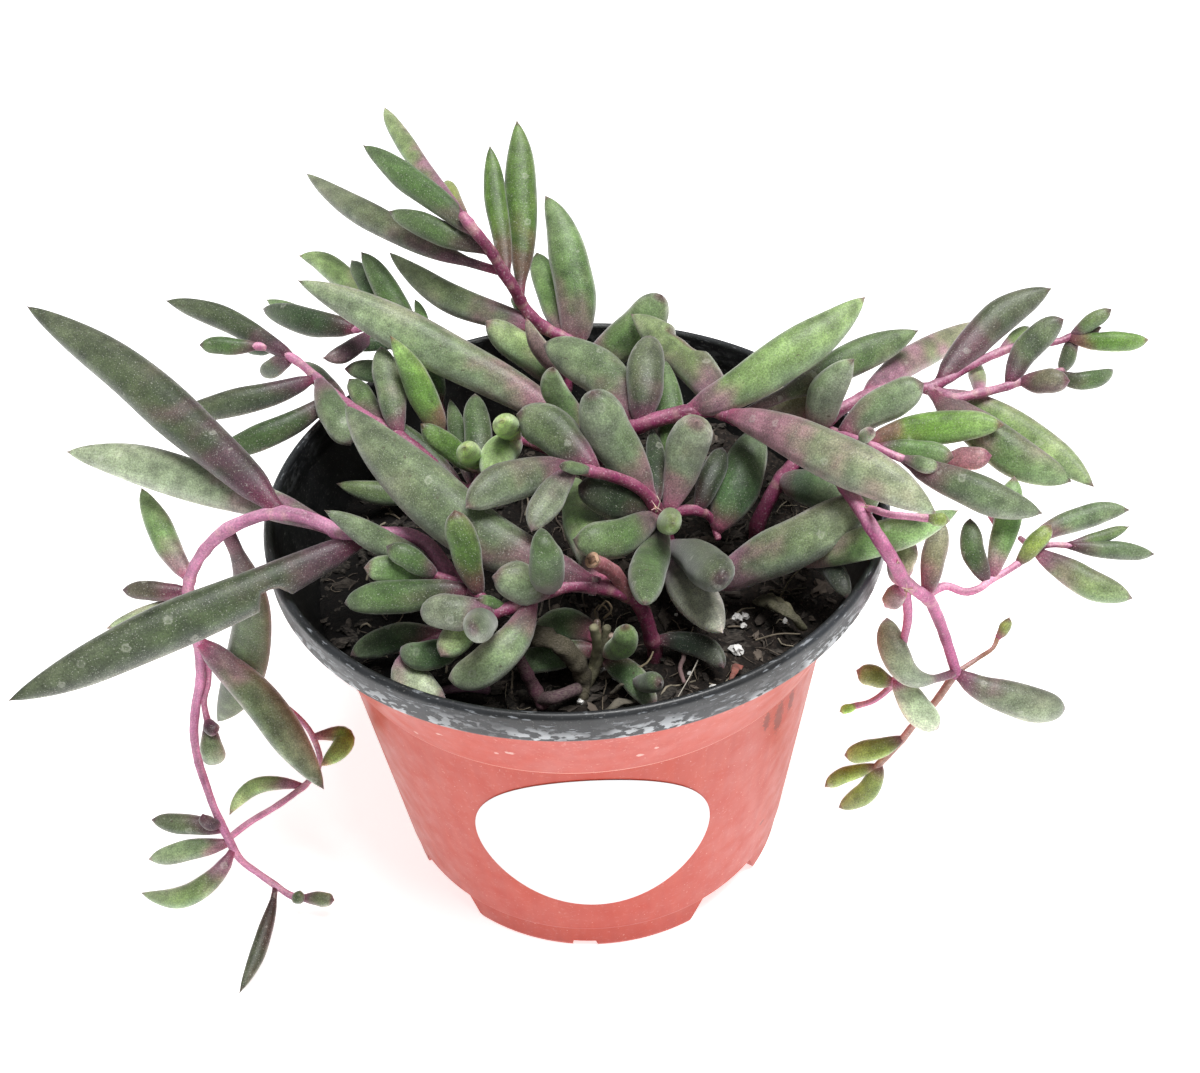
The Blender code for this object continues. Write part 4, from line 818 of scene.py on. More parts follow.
def leafGrid(row, rng):  # rings of points round the midrib, with each ring's share of the length
    settings = leafBuild
    ends = leafMidrib(row, np.linspace(0, 1, 12))
    length = float(np.linalg.norm(np.diff(ends, axis=0), axis=1).sum())
    count = max(settings["fewestRings"], round(length / settings["ringLength"]))
    even = np.linspace(0, 1, count)
    shares = 0.3 * even + 0.7 * np.sin(math.pi / 2 * even)  # rings stand closer towards the tip
    sides = settings["sides" if row["width"] > settings["slimWidth"] else "slimSides"]
    turns = np.linspace(0, 2 * math.pi, sides, endpoint=False)
    middles = leafMidrib(row, shares)
    ahead = leafMidrib(row, (shares + 0.02).clip(0, 1)) - leafMidrib(row, (shares - 0.02).clip(0, 1))
    ahead /= np.linalg.norm(ahead, axis=1)[:, None]
    across = np.cross(ahead, viewPlace - middles)
    across /= np.linalg.norm(across, axis=1)[:, None]
    face = np.cross(across, ahead)
    phase = rng.uniform(0, 2 * math.pi, 6)
    swell = sum(np.sin(shares * k + phase[k % 6]) for k in (7, 13, 21)) / 3
    half = leafForm(row, shares, length) * (1 + settings["waver"] * swell)
    point = settings["tipPointWidth"] * (1 - smoothStep(0.995, 1, shares))
    half = np.maximum(half, np.where(shares > 0.9, point, 0))
    sway = settings["sideWaver"] * np.sin(shares * 9 + phase[1]) * np.sin(math.pi * shares)
    middles = middles + across * (sway * row["width"] / 8)[:, None]
    middles[-1] += ahead[-1] * settings["tipPoint"]
    cosine, sine = np.cos(turns), np.sin(turns)
    square = 1 + settings["squareness"] * (np.sin(2 * turns) ** 2) * 0.5
    depth = settings["depth"] * np.where(sine > 0, 1 - settings["flatTop"] * sine ** 2, 1)
    dent = np.zeros((count, sides))
    if "bite" in row:
        middle, reach, side, gone = row["bite"]
        ragged = noiseOver([(share * length, 0, 5) for share in shares], 1)
        dent = gone * (1 - smoothStep(0.6, 1, np.abs(shares - middle) / reach * (1 + 0.4 * ragged)))
        dent = dent[:, None] * (1 + 0.3 * ragged[:, None]) * (side * cosine > 0.05)
    flat = across[:, None, :] * (half[:, None] * cosine * square * (1 - dent))[..., None]
    deep = face[:, None, :] * (half[:, None] * sine * square * depth)[..., None]
    return middles[:, None, :] + flat + deep, shares, length, dent


def gridNormals(grid):  # outward direction at each point of a closed tube of rings
    along = np.gradient(grid, axis=0)
    around = np.roll(grid, -1, axis=1) - np.roll(grid, 1, axis=1)
    normal = np.cross(around, along)
    return normal / np.linalg.norm(normal, axis=-1, keepdims=True).clip(1e-9)


def tubeFaces(grid):  # quads between a grid's rings, and a cap at each end
    rings, sides = grid.shape[:2]
    faces = []
    for i in range(rings - 1):
        low, high = i * sides, (i + 1) * sides
        for j in range(sides):
            k = (j + 1) % sides
            faces.append((low + j, low + k, high + k, high + j))
    return faces + [tuple(reversed(range(sides))), tuple((rings - 1) * sides + j for j in range(sides))]


def leafBody(row, rng):  # a leaf with its colours: green flesh, purple at foot and margins and below, with painted shade on its underside, painted light towards the tip and along its sides, and a painted light level for each leaf
    settings = leafBuild
    grid, shares, length, dent = leafGrid(row, rng)
    body, under, foot, tip = (linear(code) for code in leafLooks[row["look"]][:4])
    normal = gridNormals(grid)
    wobble, broken = noiseOver(grid, settings["lumps"]), noiseOver(grid, settings["blotches"], (7, 3, 1))
    turns = np.linspace(0, 2 * math.pi, grid.shape[1], endpoint=False)
    side = np.abs(np.cos(turns))[None]
    share = shares[:, None] + 0 * wobble
    flush = rng.uniform(*settings["flushes"])
    # Each leaf's light option is painted light: it brightens or darkens the whole leaf for the light or shade
    # it stands in. Without it, the leaf gets a random tone.
    flushed, brightness = rng.choice((-1, 1)), row.get("light", rng.uniform(*settings["lights"]))
    flush = row.get("flush", flush)
    below = smoothStep(-0.15, 0.75, -normal[..., 2] + 0.3 * wobble)
    colour = mixed(body, under, below)
    margin = side ** 6 * settings["margin"] * (0.7 + 1.4 * wobble)
    oneSide = settings["sideFlush"] * smoothStep(-0.1, 1.0, flushed * np.cos(turns)[None] + 0.8 * wobble)
    footReach = settings["footReach"] * (0.6 + 0.8 * flush) * (1 + 0.7 * wobble)
    atFoot = 1 - smoothStep(0.05, 1, share / footReach)
    spread = ((margin + oneSide * (1 - 0.5 * share)) * flush).clip(0, 0.9)
    purple = 1 - (1 - 0.95 * atFoot) * (1 - spread) * (1 - settings["belowFlush"] * below * flush)
    colour = mixed(colour, foot, smoothStep(0.08, 0.92, purple))
    joint = 1 - smoothStep(0.2, 1, share / settings["jointReach"])
    colour = mixed(colour, linear(settings["joint"]), joint * settings["jointShare"])
    # Painted light: the colour grows brighter towards the tip, as if light shone through it.
    glow = 1 + settings["paintedTipLight"] * smoothStep(0.4, 0.95, share)
    pale = settings["tipPaleShare"] * smoothStep(0.5, 0.97, share)
    colour = mixed(colour, linear(settings["tipPale"]), pale)
    dark = smoothStep(1 - settings["tipReach"] / length * (1.6 + wobble), 1, share)
    colour = mixed(colour, mixed(tip, linear(settings["tipFlush"]), 0.4), dark * 0.85)
    # Painted highlight: a pale line along the leaf's sides as the camera sees them, standing in for rim
    # light.
    edge = smoothStep(0.86, 0.97, side) * (1 - dark) * (1 - atFoot)
    colour = mixed(colour, linear(settings["edge"]), edge * settings["paintedRimLightShare"] * (1 + 1.2 * broken))
    if "rings" in row:
        turn = (1 - share) * length / settings["ringPitch"]
        fading = 1 - smoothStep(1.5, 3.2, turn)
        glow = glow * (1 + settings["ringShade"] * np.cos(2 * math.pi * turn) * fading)
    # Painted shade: the colour is lighter on faces that look up and darker on faces that look down, as light
    # from above would fall; the lumps and blotches are the leaf's own mottle.
    shading = 1 + settings["lumpShade"] * wobble + settings["blotchShade"] * broken
    shading = shading * (0.80 + settings["paintedSkyShade"] * normal[..., 2]) * glow * brightness
    colour = colour * shading[..., None]
    colour = mixed(colour, linear(settings["bitten"]), (dent > 0.12) * (side > 0.75) * 0.8)
    dust = leafLooks[row["look"]][4] * smoothStep(-0.2, 0.8, normal[..., 2]) * (1 - 0.5 * atFoot)
    place = np.stack([share * length + 30 * rng.random(), row["width"] / 2 * np.cos(turns) + 0 * wobble,
                      row["width"] / 2 * np.sin(turns) + 0 * wobble], axis=-1) * mm
    return grid, tubeFaces(grid), {"leafColour": colour, "leafDust": dust, "leafPlace": place}


def buildLeaves(name, rows, material, rng):
    made = joinBodies([leafBody(row, rng) for row in rows])
    makePiece(name.replace("stem_", "leaves_"), *made, [material], "leaf_and_stem", name)


# Dried water spots: spacing in mm, inner and outer radius as shares of it, how rare, how strong
waterSpots = ((0.8, 0.0, 0.11, 0.74, 0.60), (3.0, 0.14, 0.19, 0.80, 0.50))


def leafSkin():
    # Fleshy succulent leaf: a waxy skin over translucent flesh, sprinkled with pale wax grains, with faint
    # streaks along it, a thin film of dust, dried water spots and a few scars
    made, tree = newMaterial("waxy_leaf_skin", subsurface=0.10, radius=(1.2, 1.6, 0.5), scale=mm,
                             ior=1.40, roughness=0.5, sheen=0.30)
    colour = addNode(tree, "Attribute", attribute_name="leafColour")["Color"]
    film = addNode(tree, "Attribute", attribute_name="leafDust")["Fac"]
    place = addNode(tree, "Attribute", attribute_name="leafPlace")["Vector"]
    mottle = remap(tree, grain(tree, 2.6, 5), 0.3, 0.7, 0.74, 1.26)
    streaks = remap(tree, grain(tree, 0.9, 3, space=place, stretch=(0.12, 1, 1)), 0.3, 0.7, 0.86, 1.14)
    fine = remap(tree, grain(tree, 0.26, 2), 0.34, 0.66, 0.72, 1.28)
    colour = shade(tree, colour, mottle, streaks, fine)
    cloud = remap(tree, grain(tree, 1.8, 5), 0.35, 0.75, 0.25, 1.0)
    wax = remap(tree, grain(tree, 0.20, 2), 0.52, 0.60, 0.10, 1.7)
    dusty = times(tree, film, cloud, wax)
    colour = blendColour(tree, dusty, colour, "#e0e3d8")
    loose = remap(tree, grain(tree, 0.22, 1), 0.66, 0.69)
    dusted = remap(tree, film, 0.05, 0.5, 0.40, 1.0)
    colour = blendColour(tree, times(tree, loose, 0.62, dusted), colour, "#e8eadc")
    space = objectSpace(tree)
    shift = addNode(tree, "TexNoise", {"Vector": space, "Scale": 1 / (0.5 * mm), "Detail": 2})["Color"]
    shift = addNode(tree, "VectorMath", {0: shift, "Scale": 0.9 * mm}, operation="SCALE")[0]
    warped = addNode(tree, "VectorMath", {0: space, 1: shift}, operation="ADD")[0]
    for spacing, inside, outside, rare, strength in waterSpots:
        cells = addNode(tree, "TexVoronoi", {"Vector": warped, "Scale": 1 / (spacing * mm)})
        near = remap(tree, cells["Distance"], outside, outside * 1.35, 1, 0)
        if inside:
            near = times(tree, near, remap(tree, cells["Distance"], inside * 0.8, inside, 0.35, 1))
        chance = addNode(tree, "SeparateColor", {0: cells["Color"]})[0]
        spot = times(tree, near, remap(tree, chance, rare, rare + 0.03), strength, dusted)
        colour = blendColour(tree, spot, colour, "#dfe0d2")
    colour = stain(tree, colour, "#4a3b33", 0.6, 1.1, 3, 0.70, 0.74, stretch=(1, 1, 1.6))
    return dress(made, colour, (0.5, 5, 0.08, 0.8), remap(tree, dusty, 0, 0.4, 0.46, 0.80))


# Stems: lengths in mm, colours from the soil outwards

stemBuild = {
    "sides": 14, "spacing": 0.8, "swelling": 0.14, "swellingReach": 1.0, "knots": 0.10, "knotSize": 0.6,
    "deep": "#86305a", "trailing": "#b9608f", "trailingReach": (34, 58), "toneShare": 0.85,
    "thin": "#cf90a6", "thinRadius": (0.45, 0.95), "thinShare": 0.55, "old": "#594038", "oldReach": (3, 16),
    "bloom": "#dfc0cf", "paintedTopLightShare": 0.32, "below": "#84305f", "paintedUnderShadeShare": 0.5,
    "mottle": 0.4, "mottleShade": 0.36, "stripesRound": 2.4, "stripesAlong": 0.05, "stripeShade": 0.5,
    "nodes": "#e2c4b4", "nodeReach": 0.35, "nodeShare": 0.35, "cutRim": "#cda98a", "cutHeart": "#8a6248",
}


def sweep(path, radii, sides):  # rings round a path, without twist
    ahead = np.gradient(path, axis=0)
    ahead /= np.linalg.norm(ahead, axis=1)[:, None]
    side = np.cross(ahead[0], [0.3, 0.5, 0.8])
    rings = []
    turns = np.linspace(0, 2 * math.pi, sides, endpoint=False)
    for place, along, radius in zip(path, ahead, radii):
        side = side - along * (side @ along)
        side = side / np.linalg.norm(side)
        up = np.cross(along, side)
        rings.append(place + radius * (np.cos(turns)[:, None] * side + np.sin(turns)[:, None] * up))
    return np.array(rings)


def roundEnds(path, radii, cut=False):  # adds short closing rings at both ends, or a flat cut at the last
    first, last = path[0] - path[1], path[-1] - path[-2]
    first, last = first / np.linalg.norm(first), last / np.linalg.norm(last)
    shares = (0.35, 0.75, 0.96)
    before = [path[0] + first * radii[0] * 0.8 * s for s in reversed(shares)]
    after = [path[-1] + last * radii[-1] * 0.8 * s for s in shares]
    thin = [math.sqrt(1 - s * s) for s in shares]
    closing = [radii[-1] * t for t in thin]
    if cut:
        after = [path[-1] + last * 0.05, path[-1] + last * 0.05, path[-1] - last * 0.35]
        closing = [radii[-1] * t for t in (1.12, 0.62, 0.5)]
    return (np.vstack([before, path, after]),
            np.concatenate([[radii[0] * t for t in reversed(thin)], radii, closing]))


def stemBody(row, feet):  # a stem with its colours: magenta, browner near the soil, paler where it is thin, with a painted highlight on top and painted shade below
    settings = stemBuild
    tones = {key: linear(code) for key, code in settings.items() if isinstance(code, str)}
    path = stemPath(row, settings["spacing"])
    away = np.linalg.norm(path[:, None] - feet[None], axis=2).min(axis=1)
    radii = stemRadii(row, len(path))
    radii = radii * (1 + settings["swelling"] * np.exp(-(away / settings["swellingReach"]) ** 2))
    radii = radii * (1 + settings["knots"] * noiseOver(path, settings["knotSize"]))
    closest = np.concatenate([[9, 9, 9], away, [9, 9, 9]])  # the closing rings lie at no leaf
    path, radii = roundEnds(path, radii, "cut" in row)
    grid = sweep(path, radii, settings["sides"])
    wobble = noiseOver(grid, settings["mottle"])
    outside = smoothStep(*settings["trailingReach"], np.linalg.norm(path[:, :2], axis=1))
    outside = outside[:, None] + 0 * wobble
    colour = mixed(tones["deep"], tones["trailing"], outside)
    fine = 1 - smoothStep(*settings["thinRadius"], radii)[:, None] + 0 * wobble
    colour = mixed(colour, tones["thin"], fine * settings["thinShare"] * outside)
    if "tone" in row:
        colour = mixed(colour, linear(row["tone"]), settings["toneShare"] + 0 * wobble)
    old = 1 - smoothStep(*settings["oldReach"], np.arange(len(path)) * settings["spacing"])
    old = old[:, None] * float(row["rooted"])
    colour = mixed(colour, tones["old"], old + 0 * wobble)
    up = gridNormals(grid)[..., 2]
    turns = np.linspace(0, 2 * math.pi, settings["sides"], endpoint=False)
    wide, tall = settings["stripesRound"], settings["stripesAlong"]
    stripes = noiseOver([[(wide * math.cos(turn), wide * math.sin(turn), tall * ring) for turn in turns]
                         for ring in range(len(path))], 1)
    # Painted light: paler on faces that look up, most of all outside the pot, and darker magenta on faces
    # that look down, as light from above would fall.
    bloom = smoothStep(0.25, 1.0, up + 0.5 * wobble) * (0.35 + 0.65 * outside)
    colour = mixed(colour, tones["bloom"], settings["paintedTopLightShare"] * bloom)
    below = smoothStep(0.1, 0.9, -up)
    colour = mixed(colour, tones["below"], settings["paintedUnderShadeShare"] * below * (1 - old))
    colour = colour * (1 + settings["mottleShade"] * wobble + settings["stripeShade"] * stripes)[..., None]
    scar = np.exp(-((closest - 1.1) / settings["nodeReach"]) ** 2)[:, None] * (wobble > -0.05)
    colour = mixed(colour, tones["nodes"], settings["nodeShare"] * scar)
    if "cut" in row:
        colour[-4:-2], colour[-2:] = tones["cutRim"], tones["cutHeart"]
    return grid, tubeFaces(grid), {"stemColour": colour}


def buildStems(name, stems, leaves, material):
    feet = np.vstack([leafMidrib(row, np.array([0.0])) for row in leaves])
    made = joinBodies([stemBody(row, feet) for row in stems])
    makePiece(name, *made, [material], "leaf_and_stem", name)


def stemSkin():
    # Young succulent stem: a smooth waxy skin, flushed magenta by the sun, browner where it is old
    made, tree = newMaterial("flushed_stem_skin", subsurface=0.08, radius=(1.5, 0.6, 0.6), scale=mm,
                             ior=1.45, roughness=0.45)
    colour = addNode(tree, "Attribute", attribute_name="stemColour")["Color"]
    colour = stain(tree, colour, "#8f7e74", 0.22, 1.2, 4, 0.35, 0.7)
    colour = shade(tree, colour, remap(tree, grain(tree, 0.3, 3), 0.3, 0.7, 0.72, 1.28))
    colour = stain(tree, colour, "#ecd3da", 0.3, 0.4, 2, 0.60, 0.68)
    return dress(made, colour, (0.5, 4, 0.12, 0.7))


# Pot: angles in degrees; a drip or splash is its place across and up the wall, then its half width and height

potBuild = {
    "steps": 192, "cornerRadius": 0.35, "sharpEdge": 38, "footTurn": -94.5, "footCount": 4,
    "gapHalfBottom": 14.5, "gapHalfTop": 9.5, "notchWidth": 5.2, "notchHeight": 1.8, "notchTop": 0.8,
    "drainRadius": 3.5, "drainReach": 30.0,
    "drips": [(29.4, 54.5, 0.7, 2.6), (31.8, 52.5, 0.9, 4.6), (34.2, 53.5, 0.6, 3.4), (31.1, 17.9, 0.5, 0.5)],
    "splashes": [(-11.3, 67.0, 0.8, 0.5), (-13.5, 66.0, 0.4, 0.4), (8.0, 64.8, 0.7, 0.5),
                 (10.5, 66.5, 0.4, 0.4), (-22.0, 68.0, 0.6, 0.4), (-26.5, 63.0, 0.4, 0.6)],
}


def roundCorners(profile, radius, steps=3):  # corners of an open profile become short arcs
    profile = [np.array(p, float) for p in profile]
    made = [profile[0]]
    for before, corner, after in zip(profile[:-2], profile[1:-1], profile[2:]):
        first, second = before - corner, after - corner
        reach = min(radius, 0.42 * np.linalg.norm(first), 0.42 * np.linalg.norm(second))
        a = corner + first / np.linalg.norm(first) * reach
        b = corner + second / np.linalg.norm(second) * reach
        for t in np.linspace(0, 1, steps + 1):
            made.append((1 - t) ** 2 * a + 2 * t * (1 - t) * corner + t * t * b)
    return np.array(made + [profile[-1]])


def lathe(profile, steps):  # points and faces of a turned body whose profile starts and ends on the axis
    turns = np.linspace(0, 2 * math.pi, steps, endpoint=False)
    inner = profile[1:-1]
    points = [[r * math.cos(t), r * math.sin(t), z] for r, z in inner for t in turns]
    points += [[0, 0, profile[0][1]], [0, 0, profile[-1][1]]]
    first, last = len(points) - 2, len(points) - 1
    faces = []
    for i in range(len(inner) - 1):
        for j in range(steps):
            k = (j + 1) % steps
            faces.append((i * steps + k, i * steps + j, (i + 1) * steps + j, (i + 1) * steps + k))
    end = (len(inner) - 1) * steps
    for j in range(steps):
        k = (j + 1) % steps
        faces.append((first, j, k))
        faces.append((last, end + k, end + j))
    return points, faces


def cutterPiece(name, bm):
    bmesh.ops.recalc_face_normals(bm, faces=bm.faces)
    if bm.calc_volume(signed=True) < 0:
        bmesh.ops.reverse_faces(bm, faces=bm.faces)
    mesh = bpy.data.meshes.new(name)
    bm.to_mesh(mesh)
    bm.free()
    made = bpy.data.objects.new(name, mesh)
    made.location = potAxis
    bpy.context.scene.collection.objects.link(made)
    return made


def footCutters():  # what is cut away between the feet, at the middle of each foot and in the floor
    settings = potBuild
    cutters = []
    for k in range(settings["footCount"]):
        middle = math.radians(settings["footTurn"]) + 2 * math.pi * k / settings["footCount"]
        between = middle + math.pi / settings["footCount"]
        gap = bmesh.new()
        bmesh.ops.create_cube(gap, size=1)
        for vert in gap.verts:
            reach = rimRadius if vert.co.x > 0 else footRadius - 4 * footWidth
            half = math.radians(settings["gapHalfTop"] if vert.co.z > 0 else settings["gapHalfBottom"])
            angle = between + math.copysign(half, vert.co.y)
            height = ledgeHeight - 0.25 if vert.co.z > 0 else -1
            vert.co = Vector((reach * math.cos(angle), reach * math.sin(angle), height)) * mm
        cutters.append(cutterPiece(f"foot_gap_{k}", gap))
        notch = bmesh.new()
        bmesh.ops.create_cube(notch, size=1)
        for vert in notch.verts:
            upper = vert.co.z > 0
            reach = footRadius + math.copysign(2 * footWidth, vert.co.x)
            side = math.copysign(settings["notchWidth"] / 2, vert.co.y)
            side *= settings["notchTop"] if upper else 1.0
            vert.co = Vector((reach * math.cos(middle) - side * math.sin(middle),
                              reach * math.sin(middle) + side * math.cos(middle),
                              settings["notchHeight"] if upper else -1)) * mm
        cutters.append(cutterPiece(f"foot_notch_{k}", notch))
        drain = bmesh.new()
        bmesh.ops.create_cone(drain, cap_ends=True, segments=40, radius1=settings["drainRadius"] * mm,
                              radius2=settings["drainRadius"] * mm, depth=2 * ledgeHeight * mm)
        offset = Vector((math.cos(between), math.sin(between), 0)) * settings["drainReach"] * mm
        for vert in drain.verts:
            vert.co += offset + Vector((0, 0, ledgeHeight * mm))
        cutters.append(cutterPiece(f"drain_{k}", drain))
    return cutters


def buildPot(black, terracotta):
    points, faces = lathe(roundCorners(potShape(), potBuild["cornerRadius"]), potBuild["steps"])
    pot = makePiece("nursery_pot", points, faces, {}, [black, terracotta], "pot_plastic", "pot")
    cutters = footCutters()
    for cutter in cutters:
        hole = pot.modifiers.new(cutter.name, "BOOLEAN")
        hole.operation = "DIFFERENCE"
        hole.solver = "EXACT"
        hole.object = cutter
    bpy.context.view_layer.update()
    graph = bpy.context.evaluated_depsgraph_get()
    shaped = bpy.data.meshes.new_from_object(pot.evaluated_get(graph))
    pot.modifiers.clear()
    pot.data = shaped
    for cutter in cutters:
        bpy.data.objects.remove(cutter, do_unlink=True)
    shaped.materials.clear()
    shaped.materials.append(black)
    shaped.materials.append(terracotta)
    for face in shaped.polygons:
        centre, normal = face.center / mm, face.normal
        outward = centre.x * normal.x + centre.y * normal.y
        across = math.hypot(centre.x, centre.y)
        upper = centre.z > potHeight - skirtDrop - 0.8 and across > upperCollar + 0.2
        inner = outward < -0.05 * across or normal.z > 0.7
        face.material_index = 0 if upper or (inner and centre.z > ledgeHeight - 0.2) else 1
    shaped.shade_smooth()
    shaped.set_sharp_from_angle(angle=math.radians(potBuild["sharpEdge"]))


def rimSpace(tree):  # the way round the pot, the radius and the height, in metres
    x, y, z = addNode(tree, "SeparateXYZ", {0: objectSpace(tree)})
    turn = addNode(tree, "Math", {0: x, 1: times(tree, y, -1.0)}, operation="ARCTAN2")[0]
    flat = addNode(tree, "CombineXYZ", {0: x, 1: y})[0]
    radius = addNode(tree, "VectorMath", {0: flat}, operation="LENGTH")["Value"]
    way = times(tree, turn, rimRadius * mm)
    return addNode(tree, "CombineXYZ", {0: way, 1: radius, 2: z})[0], radius, z


def blackPlastic():
    # Thermoformed polystyrene sheet, black side: satin, greyed over the lip partly by wear and partly by a
    # painted reflection, scuffed pale where pots have stood in each other, most of all along the lower edge
    # of the lip
    made, tree = newMaterial("black_polystyrene", ior=1.59, roughness=0.42)
    space, radius, height = rimSpace(tree)
    lowEdge = (potHeight - skirtDrop) * mm
    lip = remap(tree, radius, (rimRadius - lipWidth - 0.4) * mm, (rimRadius - 0.6) * mm)
    lip = times(tree, lip, remap(tree, height, lowEdge - 0.4 * mm, lowEdge + 0.3 * mm))
    # Partly wear and partly painted reflection: the lip is greyed along streaks round the pot, standing in
    # for the bright surroundings it mirrors.
    rubbed = remap(tree, grain(tree, 5, 5, space=space, stretch=(0.4, 1, 1)), 0.35, 0.7, 0.15, 1.0)
    colour = blendColour(tree, times(tree, rubbed, lip, 0.24), "#070809", "#60666f")
    patches = remap(tree, grain(tree, 5, 3, space=space, stretch=(0.5, 1, 1)), 0.44, 0.58, 0.15, 1.0)
    nearEdge = remap(tree, height, lowEdge + 0.8 * mm, lowEdge + 4.2 * mm, 1.0, 0.0)
    worn = remap(tree, grain(tree, 0.9, 10, space=space, stretch=(0.5, 1, 1.2)), 0.50, 0.54)
    lines = remap(tree, grain(tree, 0.6, 8, space=space, stretch=(0.25, 1, 1.6)), 0.62, 0.66)
    colour = blendColour(tree, times(tree, worn, nearEdge, patches, lip, 0.75), colour, "#dfe3e7")
    colour = blendColour(tree, times(tree, lines, lip, 0.34), colour, "#c9cfd6")
    colour = stain(tree, colour, "#9d9c96", 0.25, 0.3, 2, 0.64, 0.72)
    return dress(made, colour, (0.5, 5, 0.05, 0.6), remap(tree, grain(tree, 3, 4), 0.3, 0.7, 0.34, 0.5))


def spotShare(tree, x, z, wide, tall):  # 1 inside a ragged spot on the pot's front wall, 0 outside
    space = objectSpace(tree)
    spot = addNode(tree, "Mapping", {"Vector": space, "Location": (-x / wide, 0, -z / tall),
                                     "Scale": (1 / (wide * mm), 0, 1 / (tall * mm))})[0]
    reach = addNode(tree, "VectorMath", {0: spot}, operation="LENGTH")["Value"]
    edge = remap(tree, grain(tree, 0.5, 4), 0.2, 0.8, -0.6, 0.6)
    ragged = addNode(tree, "Math", {0: reach, 1: edge}, operation="ADD")[0]
    front = remap(tree, addNode(tree, "SeparateXYZ", {0: space})[1], -mm, 0.0, 1, 0)
    return times(tree, remap(tree, ragged, 0.75, 1.0, 1, 0), front)


def terracottaPlastic():
    # The same sheet's terracotta side: smooth, with a soft sheen, faint vertical drawing marks, chalky dust
    # below the lip, a few dark drips and pale splashes, and a painted highlight along the collar step
    made, tree = newMaterial("terracotta_polystyrene", ior=1.42, roughness=0.45, subsurface=0.04,
                             radius=(1.0, 0.4, 0.3), scale=mm)
    draw = remap(tree, grain(tree, 1.6, 4, stretch=(1, 1, 0.05)), 0.3, 0.7)
    colour = blendColour(tree, draw, "#b83216", "#c03b1e")
    colour = stain(tree, colour, "#cf6a50", 0.12, 9, 4, 0.45, 0.8)
    colour = stain(tree, colour, "#f0c9bb", 0.35, 0.5, 2, 0.68, 0.74)
    height = addNode(tree, "SeparateXYZ", {0: objectSpace(tree)})[2]
    underLip = remap(tree, height, (potHeight - skirtDrop - 7) * mm, (potHeight - skirtDrop) * mm, 0.05, 0.3)
    colour = stain(tree, colour, "#f3d3c8", underLip, 0.8, 7, 0.58, 0.66)
    # Painted highlight: a pale line where the collar step catches the light.
    step = (potHeight - collarDrop + 0.8) * mm
    stepLine = times(tree, remap(tree, height, step - 0.2 * mm, step - 0.05 * mm),
                     remap(tree, height, step + 0.2 * mm, step + 0.4 * mm, 1, 0), 0.8)
    colour = blendColour(tree, stepLine, colour, "#f6c0ae")
    for kind, share, tone in (("drips", 0.80, "#7e1f10"), ("splashes", 0.55, "#f4dcd2")):
        for row in potBuild[kind]:
            colour = blendColour(tree, times(tree, spotShare(tree, *row), share), colour, tone)
    return dress(made, colour, (0.7, 4, 0.02, 0.4), remap(tree, grain(tree, 4, 4), 0.3, 0.7, 0.30, 0.44))


# Sticker: lifts are distances from the pot's wall in mm

stickerBuild = {"rings": 14, "steps": 96, "frontLift": 0.22, "backLift": 0.04, "edgeLift": 0.12,
                "sharpEdge": 50}


def wallRadius(height):  # outside radius of the pot's wall between its ledge and its collar
    lean = (collarRadius - ledgeRadius) / (potHeight - collarDrop - ledgeHeight)
    return ledgeRadius + lean * (height - ledgeHeight)


def buildSticker(material):
    rings, steps = stickerBuild["rings"], stickerBuild["steps"]
    points, faces = [], []
    for offset in (stickerBuild["frontLift"], stickerBuild["backLift"]):
        for i in range(rings + 1):
            reach = stickerRadius * i / rings
            for j in range(steps if i else 1):
                turn = 2 * math.pi * j / steps
                x, z = reach * math.cos(turn), stickerHeight + reach * math.sin(turn)
                lift = offset if i < rings else stickerBuild["edgeLift"]
                points.append((x, -math.sqrt((wallRadius(z) + lift) ** 2 - x * x), z))
    layer = 1 + rings * steps
    for side in range(2):
        base = side * layer
        for i in range(rings):
            for j in range(steps):
                k = (j + 1) % steps
                low = base + (0 if i == 0 else 1 + (i - 1) * steps)
                high = base + 1 + i * steps
                face = (low, high + j, high + k) if i == 0 else (low + j, high + j, high + k, low + k)
                faces.append(face if side == 0 else tuple(reversed(face)))
    edge = 1 + (rings - 1) * steps
    for j in range(steps):
        k = (j + 1) % steps
        faces.append((edge + k, edge + j, layer + edge + j, layer + edge + k))
    makePiece("round_sticker", points, faces, {}, [material], "sticker_paper", "sticker",
              stickerBuild["sharpEdge"])


def stickerPaper():
    # Coated label paper: white, smooth, with a slight sheen and faint handling marks
    made, tree = newMaterial("coated_label_paper", ior=1.5, roughness=0.4)
    colour = stain(tree, "#f2f3f5", "#d8d6d4", 0.12, 7, 5, 0.45, 0.75)
    return dress(made, colour, (0.35, 3, 0.015, 0.5))


# Soil: lumps as heights and sizes in mm, and how many pieces lie in the mix

soilBuild = {
    "rings": 66, "steps": 220, "relief": (1.6, 0.9, 0.45), "sizes": (7.0, 2.6, 1.0), "lumpPlace": 4.2,
    "lower": 0.6, "wallGap": 0.15, "chips": 1700, "perlite": 26, "fibres": 420, "sharpEdge": 35,
    # The last two set the painted shade on the left: the x range in mm over which it fades out, and how dark
    # it is at its darkest.
    "paintedShadeReach": (-30, 8), "paintedShadeDepth": 0.22,
    "chipTones": ["#1d1917", "#2a2522", "#3a332e", "#161412", "#5a5048", "#241f1c"],
    "grainTones": ["#d9d6d0", "#c8c5be", "#b4b1ab"], "crumbTone": "#e4e2de",
    "fibreTones": ("#4a4038", "#2a2420", "#6b6052", "#8f8674", "#39302a"),
    "tuftTones": ("#e6cdb8", "#d9a9ac", "#b98a78"),
}


